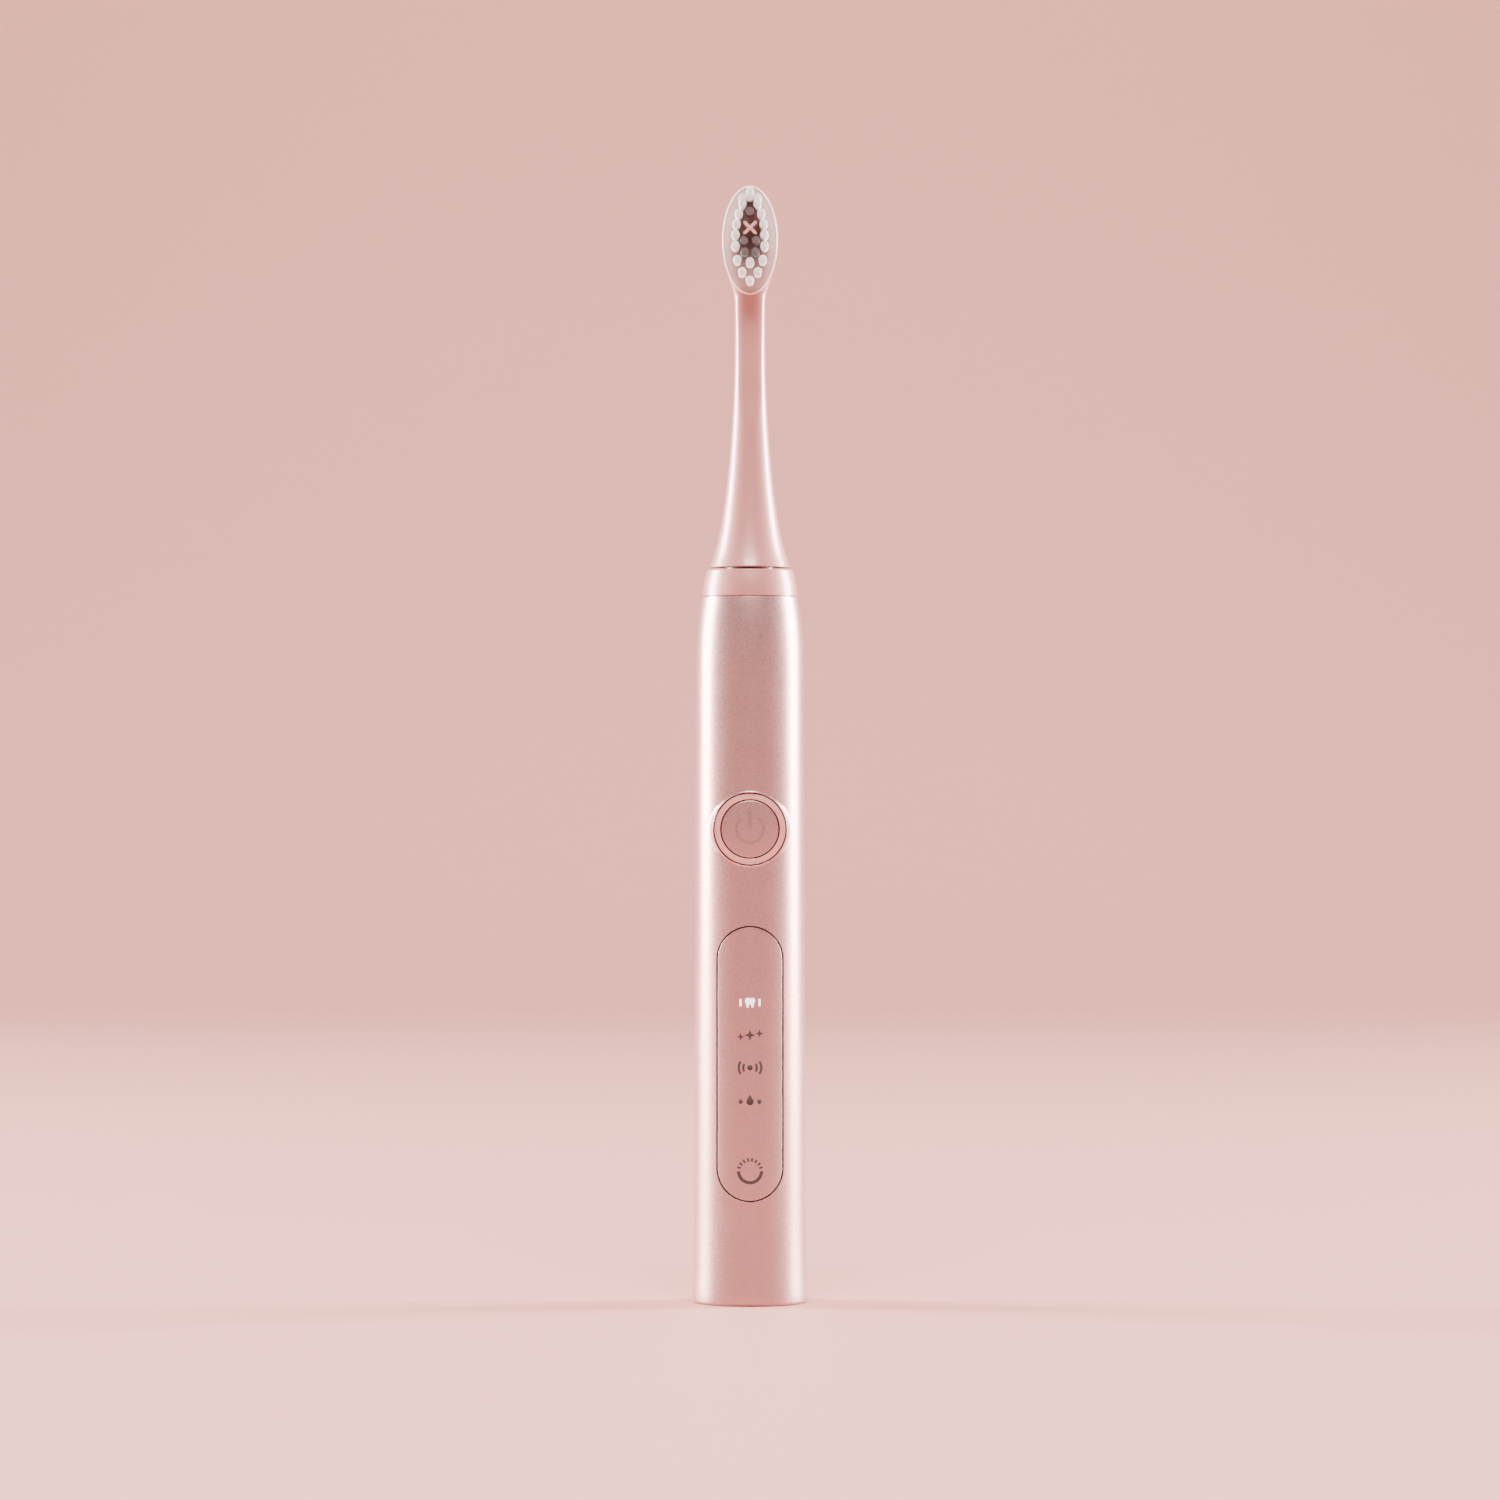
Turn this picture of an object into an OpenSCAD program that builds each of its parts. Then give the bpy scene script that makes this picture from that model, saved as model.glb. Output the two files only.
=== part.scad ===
// Slim sonic toothbrush: a tapered handle with a round power button and a long control panel,
// a pull-off brush head on a swaying drive shaft, and a socket for a charger's post underneath.
// Millimetres. +Z is up, the front faces -Y, and the origin is the middle of the base.

/* [Handle] */
// Height of the handle shell
handle_h = 157.3; // [140:0.1:190]
// Outer radius at the base
base_r = 12.9; // [12.6:0.05:15.5]
// Extra radius at the foot, fading out over the lowest 20 mm
foot_flare = 0.33; // [0:0.01:0.6]
// Radius lost from the base to the top by the straight taper
handle_taper = 0.65; // [0.2:0.05:0.9]
// Height of the rounded shoulder under the collar
shoulder_h = 19.3; // [14:0.1:24]
// Radius lost over the shoulder, beyond the taper
shoulder_drop = 1.25; // [0.4:0.05:1.3]
// Wall of the shell
wall = 1.6; // [1.3:0.1:1.9]
// Rounding of the bottom edge
foot_round = 0.8; // [0.3:0.1:1.2]

/* [Nose] */
// Height of the collar above the shell
collar_h = 6.1; // [4:0.1:9]
// Radius that the collar loses over its height
collar_draft = 0.95; // [0.2:0.05:1.2]
// Step in radius from the shell to the collar
collar_step = 0.08; // [0.02:0.01:0.3]
// Rounding of the collar's top edge
collar_round = 0.3; // [0.1:0.05:0.6]
// Height of the raised boss around the shaft
boss_h = 3.4; // [2:0.1:4]
// Open gap between the collar and the brush head
head_gap = 0.5; // [0.3:0.05:1]

/* [Button] */
// Height of the button's centre
button_z = 105.7; // [100:0.1:112]
// Radius of the button cap
button_r = 6.35; // [5.2:0.05:7]
// Running gap around the button cap
button_gap = 0.2; // [0.1:0.01:0.3]
// Width of the bezel ring around the button
bezel_w = 1.55; // [1:0.05:1.9]
// Depth of the flat land below the crest of the handle
land_recess = 0.4; // [0.2:0.05:0.6]
// Travel of the button
button_travel = 0.35; // [0.2:0.05:0.45]

/* [Control panel] */
// Width of the panel, seen from the front
panel_w = 14.9; // [12:0.1:16]
// Length of the panel
panel_l = 61.2; // [50:0.1:66]
// Height of the panel's centre
panel_z = 53.7; // [50:0.1:56]
// Seam between the panel and the shell
seam = 0.22; // [0.1:0.01:0.3]
// Height of the uppermost mode icon
icon_z = 67.3; // [64:0.1:70]
// Distance from one mode icon to the next
icon_pitch = 7.2; // [6:0.1:8]
// Height of the charge gauge
gauge_z = 30; // [28:0.1:34]

/* [Charger socket] */
// Radius of the socket for the charger's post
socket_r = 4.6; // [3.6:0.05:5.6]
// Depth of the socket
socket_depth = 9; // [6:0.1:11]

/* [Power] */
// Radius of the rechargeable cell
cell_r = 7.05; // [5.8:0.05:7.3]
// Length of the rechargeable cell
cell_l = 50; // [40:0.5:60]
// Thickness of the circuit board
board_t = 1; // [0.8:0.1:1.2]

/* [Motor] */
// Outer radius of the motor can
can_r = 7.6; // [6.4:0.05:7.9]
// Length of the motor can
can_l = 32; // [28:0.1:34]
// Wall of the motor can
can_wall = 0.6; // [0.4:0.05:0.7]
// Radius of the drive shaft
shaft_r = 1.5; // [1.25:0.05:1.8]
// Height that the shaft stands above the collar
shaft_reach = 20.6; // [17:0.1:24]
// Running clearance of the shaft in its bearings
shaft_fit = 0.03; // [0.01:0.01:0.06]

/* [Brush head] */
// Length from the foot of the neck to the middle of the oval head
neck_l = 72.8; // [66:0.1:88]
// Radius of the slim part of the neck
neck_r = 3.42; // [3.2:0.02:4.2]
// Half the width of the oval head
head_a = 6.2; // [5.6:0.05:7.6]
// Half the length of the oval head
head_b = 12.1; // [11.6:0.1:14.6]
// Wall of the neck at its open foot
neck_wall = 1.5; // [1.1:0.05:1.8]
// How far the oval rim stands in front of the shaft's axis
rim_y = 3.1; // [2.8:0.05:3.6]
// Thickness of the oval head
head_t = 4.8; // [4.2:0.1:5.6]
// Width of the rim around the bristle field
rim_w = 0.6; // [0.4:0.05:0.9]
// Depth of the bristle field below the rim
field_recess = 0.35; // [0.1:0.05:0.6]
// Thickness of the bristle plate
plate_t = 2.15; // [1.8:0.05:2.6]
// Radius of a round tuft
tuft_r = 0.86; // [0.7:0.02:0.98]
// Length of the white tufts in front of the plate
tuft_l = 9.1; // [7:0.1:9.6]

/* [Hidden] */
$fn = 96;

fit = 0.05;          // clearance of a piece that is pushed or glued into another
loose = 0.1;         // clearance of a piece that drops into its place
cut = 1;             // how far a cutting shape runs past the face that it cuts
flare_h = 20;        // height of the foot's flare
flare_power = 1.5;
flare_steps = 4;
shoulder_power = 2.85;
shoulder_steps = 9;
shoulder_z = handle_h - shoulder_h;
collar_top = handle_h + collar_h;
foot_z = collar_top + head_gap;      // foot of the brush head's neck
head_z = foot_z + neck_l;            // middle of the oval head

// Outer radius of the handle at height z: a short flare, a straight taper, then a falling shoulder.
function handle_radius(z) = base_r - foot_flare * (1 - pow(max(0, 1 - max(z, 0) / flare_h), flare_power))
    - handle_taper * z / handle_h - shoulder_drop * pow(max(0, z - shoulder_z) / shoulder_h, shoulder_power);

// Heights at which the handle's outline bends.
bends = concat([for (i = [0 : flare_steps]) flare_h * i / flare_steps],
    [for (i = [0 : shoulder_steps - 1]) shoulder_z + shoulder_h * i / shoulder_steps]);

// The handle's outline from z0 to z1, pulled in by depth.
function handle_side(z0, z1, depth = 0) =
    [for (z = concat([z0], [for (b = bends) if (b > z0 && b < z1) b], [z1])) [handle_radius(z) - depth, z]];

// Points on a quarter circle of radius r about [cx, cy], from angle a0 to a1.
function arc(cx, cy, r, a0, a1, steps = 5) =
    [for (i = [0 : steps]) let (a = a0 + (a1 - a0) * i / steps) [cx + r * cos(a), cy + r * sin(a)]];

function ellipse(a, b, steps = 72) =
    [for (i = [0 : steps - 1]) let (t = 360 * i / steps) [a * cos(t), b * sin(t)]];

// Turns local Z to the front and local Y upwards, at height z.
module front(z) translate([0, 0, z]) rotate([90, 0, 0]) children();

module turned(points) rotate_extrude() polygon(points);

// A ring about the Z axis between two radii and two heights.
module ring(r0, r1, z0, z1) turned([[r0, z0], [r1, z0], [r1, z1], [r0, z1]]);

// A round bar along Y at height z, from depth y0 to y1 in front of the axis.
module front_bar(z, r, y0, y1, r_end = -1) front(z) translate([0, 0, y0])
    cylinder(h = y1 - y0, r1 = r, r2 = r_end < 0 ? r : r_end);

// A block centred on x, between two depths in front of the axis and two heights.
module front_block(x, w, y0, y1, z0, z1) translate([x - w / 2, -y1, z0]) cube([w, y1 - y0, z1 - z0]);

// A layer of the handle's wall between two depths below its surface.
module skin(shallow, deep, z0, z1) turned(concat(handle_side(z0, z1, shallow),
    [[handle_radius(z1) - deep, z1], [handle_radius(z0) - deep, z0]]));

module stadium(w, l) {
    square([w, l - w], center = true);
    for (s = [-1, 1]) translate([0, s * (l - w) / 2]) circle(d = w);
}

// A lead that runs up for z_run, bends and runs on towards the front for y_run.
module bent_lead(z_run, y_run) {
    cylinder(h = z_run, r = lead_r, $fn = 32);
    translate([0, -lead_bend, z_run]) rotate([90, 0, 90]) rotate_extrude(angle = 90) translate([lead_bend, 0])
        circle(r = lead_r, $fn = 32);
    translate([0, -lead_bend, z_run + lead_bend]) rotate([90, 0, 0])
        cylinder(h = y_run, r = lead_r, $fn = 32);
}

// ---- Handle shell ----
land_y = handle_radius(button_z) - land_recess;      // the flat land that carries the bezel
land_r = button_r + button_gap + bezel_w + 0.35;     // radius of the land
land_skirt = 1.3;                                    // how much wider the land's foot is
land_depth = 7.5;                                    // how deep the land's foot reaches
bezel_r = button_r + button_gap + bezel_w;
bezel_step = 0.7;                                    // depth of the bezel's seat
sleeve_r = button_r + button_gap + 0.55;             // outside of the bezel's guiding sleeve

module handle_shell() color("rosybrown") difference() {
    union() {
        turned(concat([[0, 0]], arc(handle_radius(0) - foot_round, foot_round, foot_round, -90, 0),
            handle_side(foot_round + 0.01, handle_h), [[0, handle_h]]));
        front_bar(button_z, land_r + land_skirt, land_y - land_depth, land_y, land_r);
    }
    turned(concat([[0, -cut]], handle_side(-cut, handle_h, wall),
        [[handle_radius(handle_h) - wall, handle_h + cut], [0, handle_h + cut]]));
    front_bar(button_z, land_r, land_y, land_y + cut + land_recess);
    front_bar(button_z, bezel_r + fit, land_y - bezel_step, land_y + cut);
    front_bar(button_z, sleeve_r + fit, 0, land_y + cut);
    front(panel_z) linear_extrude(base_r + cut) stadium(panel_w, panel_l);
}

// ---- Nose ----
collar_r = handle_radius(handle_h) - collar_step;
spigot_r = handle_radius(handle_h) - wall - loose;   // part of the collar inside the shell
chassis_top = handle_h - 9.3;
seal_r = 4.9;                                        // flange of the shaft's rubber seal
seal_flange = 2;
seal_z = collar_top - 2.3;                           // top of the seal's flange
throat_r = shaft_r + 1.5;                            // hole in the boss, around the seal's sleeve
boss_r = throat_r + 2.7;
boss_top = collar_top + boss_h;
groove_z = handle_h - 3.3;                           // O-ring at the nose
cord_r = 0.62;                                       // section of both O-rings
nose_ring_r = handle_radius(groove_z) - wall - cord_r - fit;

module o_ring(ring_r, z) translate([0, 0, z]) rotate_extrude() translate([ring_r, 0])
    circle(r = cord_r, $fn = 32);
module o_ring_groove(ring_r, z)
    ring(ring_r - cord_r - 0.02, ring_r + 4 * cord_r, z - cord_r - 0.1, z + cord_r + 0.1);

// The collar's side: it leans in ever faster towards the top.
collar_side = [for (i = [0 : 5]) let (t = i / 5)
    [collar_r - collar_draft * pow(t, 1.6), handle_h + t * (collar_h - collar_round)]];

module nose_collar() color("pink") difference() {
    turned(concat([[5.1, chassis_top], [spigot_r, chassis_top], [spigot_r, handle_h]], collar_side,
        arc(collar_r - collar_draft - collar_round, collar_top - collar_round, collar_round, 15, 90),
        [[boss_r, collar_top], [boss_r - 0.5, boss_top - 0.4], [boss_r - 0.9, boss_top], [throat_r, boss_top],
         [throat_r, seal_z + fit], [seal_r + fit, seal_z + fit], [seal_r + fit, chassis_top + 5],
         [5.1, chassis_top + 5]]));
    ring(0, spigot_r - 1.1, chassis_top - cut, chassis_top + 4);
    o_ring_groove(nose_ring_r, groove_z);
}
module nose_seal() color("dimgray") o_ring(nose_ring_r, groove_z);
module shaft_seal() color("dimgray") turned([[shaft_r + shaft_fit, seal_z - seal_flange],
    [seal_r, seal_z - seal_flange], [seal_r, seal_z], [shaft_r + 1.3, seal_z], [shaft_r + 1.3, boss_top - 1],
    [shaft_r + 0.8, boss_top - 0.4], [shaft_r + 1.1, boss_top], [shaft_r + 0.5, boss_top + 0.7],
    [shaft_r + shaft_fit, boss_top + 0.7]]);
module seal_retainer() color("gainsboro")
    ring(shaft_r + 0.7, seal_r, seal_z - seal_flange - 3.2, seal_z - seal_flange - fit);

// ---- Button ----
cap_t = 1.35;                                        // thickness of the cap
cap_y = land_y + 0.15;                               // face of the cap, a little proud of the land
stem_r = 1.6;
board_y = land_y - 4.6;                              // front face of the circuit board
switch_t = 1.4;
switch_w = 4.6;
plunger_r = 1.1;
plunger_top = board_y + switch_t + 0.5;
gasket_y = land_y - 2.6;

module button_bezel() color("pink") difference() {
    union() {
        front_bar(button_z, bezel_r, land_y - bezel_step + fit, land_y + 0.1);
        front_bar(button_z, sleeve_r, gasket_y, land_y);
    }
    front_bar(button_z, button_r + button_gap, gasket_y - cut, land_y + cut);
}
module button_gasket() color("gainsboro") difference() {
    front_bar(button_z, button_r + button_gap - fit, gasket_y, gasket_y + 0.6);
    front_bar(button_z, stem_r + loose, gasket_y - cut, gasket_y + cut);
}
module power_button() color("rosybrown") {
    front_bar(button_z, button_r, cap_y - cap_t, cap_y - 0.2);
    front_bar(button_z, button_r, cap_y - 0.2, cap_y, button_r - 0.2);
    front_bar(button_z, stem_r, plunger_top + 0.02, cap_y - cap_t);
}
module switch_body() color("dimgray") difference() {
    front_block(0, switch_w, board_y, board_y + switch_t, button_z - switch_w / 2, button_z + switch_w / 2);
    front_bar(button_z, plunger_r + fit, board_y + 0.5, board_y + switch_t + cut);
}
module switch_plunger() color("black")
    front_bar(button_z, plunger_r, board_y + 0.5 + button_travel + fit, plunger_top);

// ---- Control panel and its icons ----
flange_w = 1;                                        // how far the panel's flange runs behind the shell
flange_t = 0.8;
icon_depth = 0.15;
stroke = 0.5;                                        // line width of the icons
panel_z0 = panel_z - panel_l / 2;
panel_z1 = panel_z + panel_l / 2;
flange_z0 = panel_z0 - flange_w;
flange_z1 = panel_z1 + flange_w;
flange_d = wall + loose;                             // depth of the flange's face below the surface
pipe_depth = flange_d + flange_t + loose;            // front of the light pipes below the surface

module star(r)
    polygon([for (i = [0 : 7]) let (q = i % 2 == 0 ? r : r * 0.36) [q * cos(45 * i), q * sin(45 * i)]]);
module arc_line(r, w, a0, a1, steps = 16) polygon(concat(arc(0, 0, r + w / 2, a0, a1, steps),
    arc(0, 0, r - w / 2, a1, a0, steps)));
module tooth_icon() {
    polygon([[-1.15, 0.35], [-0.95, 0.95], [-0.45, 1.1], [0, 0.9], [0.45, 1.1], [0.95, 0.95], [1.15, 0.35],
        [0.85, -0.3], [0.7, -1.1], [0.35, -1.1], [0.2, -0.35], [-0.2, -0.35], [-0.35, -1.1], [-0.7, -1.1],
        [-0.85, -0.3]]);
    for (s = [-1, 1]) translate([s * 2.1, 0]) square([stroke, 1.6], center = true);
}
module sparkle_icon() {
    star(1.3);
    for (s = [-1, 1]) translate([s * 2.1, s * 0.35]) star(0.9);
}
module pulse_icon() {
    circle(r = 0.6, $fn = 32);
    for (s = [0, 180], r = [1.5, 2.5]) arc_line(r, stroke, s - 34, s + 34, 8);
}
module drop_icon() {
    translate([0, -0.3]) circle(r = 0.8, $fn = 32);
    polygon([[-0.77, -0.08], [0.77, -0.08], [0, 1.3]]);
    for (s = [-1, 1]) translate([s * 2.1, -0.3]) circle(r = 0.5, $fn = 32);
}
gauge_r = 2.55;
gauge_ticks = 8;
module gauge_mark() {
    arc_line(gauge_r, 0.72, 180, 360);
    for (i = [0 : gauge_ticks - 1]) rotate(18 + 144 * i / (gauge_ticks - 1))
        translate([gauge_r - 0.4, -0.22]) square([0.8, 0.44]);
}
module icon(i) {
    if (i == 0) tooth_icon();
    if (i == 1) sparkle_icon();
    if (i == 2) pulse_icon();
    if (i == 3) drop_icon();
    if (i == 4) gauge_mark();
}
icon_heights = [for (i = [0 : 4]) i < 4 ? icon_z - i * icon_pitch : gauge_z];

module icon_layer(i, shallow, clear = 0) intersection() {
    front(icon_heights[i]) linear_extrude(base_r + cut) icon(i);
    skin(shallow, icon_depth + clear, icon_heights[i] - 4, icon_heights[i] + 4);
}
module control_panel() color("rosybrown") difference() {
    union() {
        intersection() {
            front(panel_z) linear_extrude(base_r + cut) stadium(panel_w - 2 * seam, panel_l - 2 * seam);
            skin(0, flange_d + flange_t, panel_z0, panel_z1);
        }
        intersection() {
            front(panel_z) linear_extrude(base_r + cut)
                stadium(panel_w + 2 * flange_w, panel_l + 2 * flange_w);
            skin(flange_d, flange_d + flange_t, flange_z0, flange_z1);
        }
    }
    for (i = [0 : 4]) icon_layer(i, -cut);
}
module mode_icon(i) color(i == 0 ? "white" : "sienna") icon_layer(i, 0);

// ---- Lights ----
window_w = 6;
window_h = 3;
shield_z0 = gauge_z - 4.4;
shield_z1 = icon_z + 3;
led_t = 0.7;

module light_space(x_w, z0, z1, y0) intersection() {
    front_block(0, x_w, y0, base_r, z0, z1);
    turned(concat([[0, z0]], handle_side(z0, z1, pipe_depth), [[0, z1]]));
}
function window_half(i) = i == 4 ? 3.4 : window_h / 2;
module light_shield() color("black") difference() {
    light_space(9, shield_z0, shield_z1, board_y + fit);
    for (i = [0 : 4]) front_block(0, window_w + 2 * fit, 0, base_r,
        icon_heights[i] - window_half(i) - fit, icon_heights[i] + window_half(i) + fit);
}
module light_pipes() color("white") for (i = [0 : 4]) light_space(window_w,
    icon_heights[i] - window_half(i), icon_heights[i] + window_half(i), board_y + led_t + fit);
module status_leds() color("lightyellow") for (i = [0 : 4])
    front_block(0, 1.6, board_y, board_y + led_t, icon_heights[i] - 0.4, icon_heights[i] + 0.4);

// ---- Power: cap, socket, coil and cell ----
cap_foot = 1.6;
skirt_top = 10;
skirt_wall = 1.25;
cap_r = handle_radius(skirt_top) - wall - loose;
socket_wall = 1;
bottom_groove_z = 6;
bottom_ring_r = handle_radius(bottom_groove_z) - wall - cord_r - 0.02;
bobbin_r = cap_r - skirt_wall - 0.3;
bobbin_t = 0.6;
bobbin_z0 = cap_foot + 0.2;
bobbin_z1 = socket_depth + socket_wall - 0.4;

module bottom_cap() color("pink") difference() {
    union() {
        difference() {
            turned(concat([[0, 0]], handle_side(0, skirt_top, wall + loose), [[0, skirt_top]]));
            ring(0, cap_r - skirt_wall, cap_foot, skirt_top + cut);
        }
        ring(0, socket_r + socket_wall, 0, socket_depth + socket_wall);
    }
    translate([0, 0, -cut]) cylinder(h = socket_depth + cut, r = socket_r);
    o_ring_groove(bottom_ring_r, bottom_groove_z);
}
module bottom_seal() color("dimgray") o_ring(bottom_ring_r, bottom_groove_z);
module coil_bobbin() color("ivory") {
    tube_r = socket_r + socket_wall + fit;
    turned([[tube_r, bobbin_z0], [bobbin_r, bobbin_z0], [bobbin_r, bobbin_z0 + bobbin_t],
        [tube_r + bobbin_t, bobbin_z0 + bobbin_t], [tube_r + bobbin_t, bobbin_z1 - bobbin_t],
        [bobbin_r, bobbin_z1 - bobbin_t], [bobbin_r, bobbin_z1], [tube_r, bobbin_z1]]);
}
module charge_coil() color("peru") ring(socket_r + socket_wall + bobbin_t + 2 * fit, bobbin_r - 0.3,
    bobbin_z0 + bobbin_t + fit, bobbin_z1 - bobbin_t - fit);

tray_gap = 0.45;                                     // room between the chassis and the shell
tray_wall = 0.85;
can_z1 = chassis_top - 1;
can_z0 = can_z1 - can_l;
cage_z0 = can_z0 - 4.5;                              // floor under the motor
tray_r = handle_radius(cage_z0) - wall - tray_gap;
board_back = board_y - board_t;
flange_in = handle_radius(flange_z1) - pipe_depth;   // room inside the panel's flange
board_w = 2 * sqrt(pow(flange_in, 2) - pow(board_y, 2));
tray_front = sqrt(pow(flange_in, 2) - pow(panel_w / 2 + flange_w, 2));
cell_z0 = 22.3;
cell_z1 = cell_z0 + cell_l;
cell_y = tray_r - tray_wall - cell_r - loose;        // the cell lies against the back of the tray
tab_t = 0.2;
bulkhead_t = 1.5;

module battery_cell() color("teal") {
    translate([0, cell_y, cell_z0]) cylinder(h = cell_l, r = cell_r);
    translate([0, cell_y, cell_z1]) cylinder(h = 0.8, r = 2.6);
}
module battery_tabs() color("silver") for (z = [cell_z0 - tab_t, cell_z1 + 0.8])
    translate([-2, -board_back + 0.1, z]) cube([4, cell_y + board_back + 2, tab_t]);

// ---- Circuit board ----
board_z0 = shield_z0 - 5.6;
board_z1 = cage_z0 - 0.2;
screw_r = 0.8;
screw_z = [icon_z + 13, icon_z + 26];

module circuit_board() color("darkgreen") difference() {
    front_block(0, board_w, board_back, board_y, board_z0, board_z1);
    for (z = screw_z) front_bar(z, screw_r + 0.3, 0, board_y + cut);
}
module board_screws() color("silver") for (z = screw_z) difference() {
    union() {
        front_bar(z, screw_r - fit, board_back - 5, board_y);
        front_bar(z, 1.8, board_y, board_y + 1.1);
    }
    for (a = [0, 90]) front(z) rotate(a) translate([-1.2, -0.2, board_y + 0.6]) cube([2.4, 0.4, cut]);
}
module controller_chip() color("black")
    front_block(0, 5, board_back - 0.9, board_back, icon_z + 17, icon_z + 22);
module board_components() color("tan") {
    for (s = [-1, 1], z = [16, 18.4, 20.8])
        front_block(s * 4.6, 1.6, board_y, board_y + 0.8, icon_z + z, icon_z + z + 0.9);
    front_block(0, 3.6, board_y, board_y + 1.1, icon_z + 17.6, icon_z + 20.4);
    for (s = [-1, 1]) front_block(s * 5.2, 2, board_y, board_y + 1, button_z - 1.2, button_z + 1.2);
}

// ---- Chassis ----
damper_t = 1;
cage_r = handle_radius(chassis_top) - wall - 0.22;
cage_in = can_r + damper_t + fit;
lip_t = 1.2;
bearing_r = shaft_r + 1.5;
bearing_t = 3.2;
lead_r = 0.4;
lead_bend = 1.2;
lead_out = bearing_r + lead_r + 0.5;                 // distance of the motor's leads from the axis
lead_x = lead_out * sin(42);
lead_y = lead_out * cos(42);
tray_hole = lead_out + lead_r + 0.5;

module chassis() color("whitesmoke") difference() {
    union() {
        ring(tray_r - tray_wall, tray_r, skirt_top, cage_z0 + bulkhead_t);
        ring(0, tray_r, cell_z0 - tab_t - 0.1 - bulkhead_t, cell_z0 - tab_t - 0.1);
        ring(0, tray_r, cell_z1 + 0.8 + tab_t + 0.1, cell_z1 + 0.8 + tab_t + 0.1 + bulkhead_t);
        ring(tray_hole, tray_r, cage_z0, cage_z0 + bulkhead_t);
        ring(cage_in, cage_r, cage_z0, chassis_top);
        ring(can_r + 0.2, cage_r, chassis_top - lip_t, chassis_top);
        for (z = screw_z) front_bar(z, 2, 0, board_back);
        for (z = screw_z) translate([-1, 0, z - 2]) cube([2, tray_r - tray_wall / 2, 4]);
    }
    front_block(0, 2 * base_r, min(board_back, tray_front), base_r, skirt_top - cut, cage_z0);
    front_bar(button_z, sleeve_r + 0.4, 0, base_r);
    for (z = screw_z) front_bar(z, screw_r, board_back - 5.5, board_back + cut);
    for (s = [-1, 1]) translate([s * tray_r, 0, (can_z0 + can_z1) / 2]) cube([8, 7, 12], center = true);
}

// ---- Motor ----
can_in = can_r - can_wall;
plug_t = 2.5;
rear_flange = 1.2;
front_flange = 1.5;
stator_z0 = can_z0 + 8;
stator_z1 = can_z1 - 10;
stator_r = can_in - fit;
pole_w = 2.6;
coil_t = 0.85;                                       // thickness of the winding beside its pole
coil_depth = 1;                                      // depth of the winding along its pole
yoke_t = 0.95;
air_gap = 0.4;                                       // between the magnets and the poles
coil_out = sqrt(pow(stator_r - yoke_t - fit, 2) - pow(pole_w / 2 + coil_t, 2));
coil_in = coil_out - coil_depth;
pole_r = coil_in - 0.25;
magnet_r = pole_r - air_gap;
hub_r = shaft_r + 0.45;

module motor_can() color("silver") ring(can_in, can_r, can_z0, can_z1);
module front_bracket() color("lightgray") difference() {
    union() {
        ring(0, can_in - fit, can_z1 - plug_t, can_z1);
        ring(0, can_r, can_z1, can_z1 + front_flange);
        ring(0, bearing_r + 1.3, can_z1, can_z1 + front_flange + 2.2);
    }
    cylinder(h = handle_h, r = shaft_r + 0.5);
    ring(0, bearing_r + 0.02, can_z1 + 0.3, handle_h);
}
module rear_bracket() color("lightgray") difference() {
    union() {
        ring(0, can_in - fit, can_z0, can_z0 + plug_t);
        ring(0, can_r, can_z0 - rear_flange, can_z0);
    }
    ring(0, bearing_r + 0.02, can_z0 - 0.6, handle_h);
    for (s = [-1, 1]) translate([s * lead_x, lead_y, can_z0 - rear_flange - cut])
        cylinder(h = plug_t + rear_flange + 2 * cut, r = lead_r + 0.2, $fn = 32);
}
module bearing(z) ring(shaft_r + shaft_fit, bearing_r, z, z + bearing_t);
module front_bearing() color("goldenrod") bearing(can_z1 + 0.35);
module rear_bearing() color("goldenrod") bearing(can_z0 - 0.55);
module pole_block(r0, r1, w, grow, z0, z1) translate([r0, -w / 2 - grow, z0 - grow])
    cube([r1 - r0, w + 2 * grow, z1 - z0 + 2 * grow]);
module stator_core() color("slategray") difference() {
    union() {
        ring(stator_r - yoke_t, stator_r, stator_z0, stator_z1);
        for (a = [0 : 90 : 270]) rotate(a)
            pole_block(pole_r - 1, stator_r - yoke_t / 2, pole_w, 0, stator_z0, stator_z1);
    }
    ring(0, pole_r, stator_z0 - cut, stator_z1 + cut);
}
module stator_coils() color("peru") for (a = [0 : 90 : 270]) rotate(a) difference() {
    pole_block(coil_in, coil_out, pole_w, coil_t, stator_z0, stator_z1);
    pole_block(0, can_r, pole_w, 0.03, stator_z0, stator_z1);
}
module motor_dampers() color("dimgray") {
    for (z = [can_z0 + 2, can_z1 - 5]) ring(can_r + 0.01, can_r + damper_t, z, z + 3);
    ring(tray_hole + 0.3, can_r - 0.6, cage_z0 + bulkhead_t, can_z0 - rear_flange);
}
module motor_leads() color("firebrick") for (s = [-1, 1]) translate([s * lead_x, lead_y, stator_z0 - 3])
    mirror([0, 0, 1]) bent_lead(stator_z0 - cage_z0 + 1, lead_y + board_back - lead_bend);
module coil_leads() color("peru") for (s = [-1, 1])
    translate([s * 3.6, -board_y - lead_bend - 0.1, bobbin_z1]) mirror([0, 1, 0])
        bent_lead(board_z0 - bobbin_z1 + 2, 0.1);

// ---- Drive ----
shaft_z0 = can_z0 + 0.4;
shaft_z1 = collar_top + shaft_reach;
flat_l = 14;
flat_y = shaft_r - 0.5;
shaft_tip = 0.4;
hub_z0 = stator_z0 + 0.5;
hub_z1 = stator_z1 - 0.5;

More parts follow.
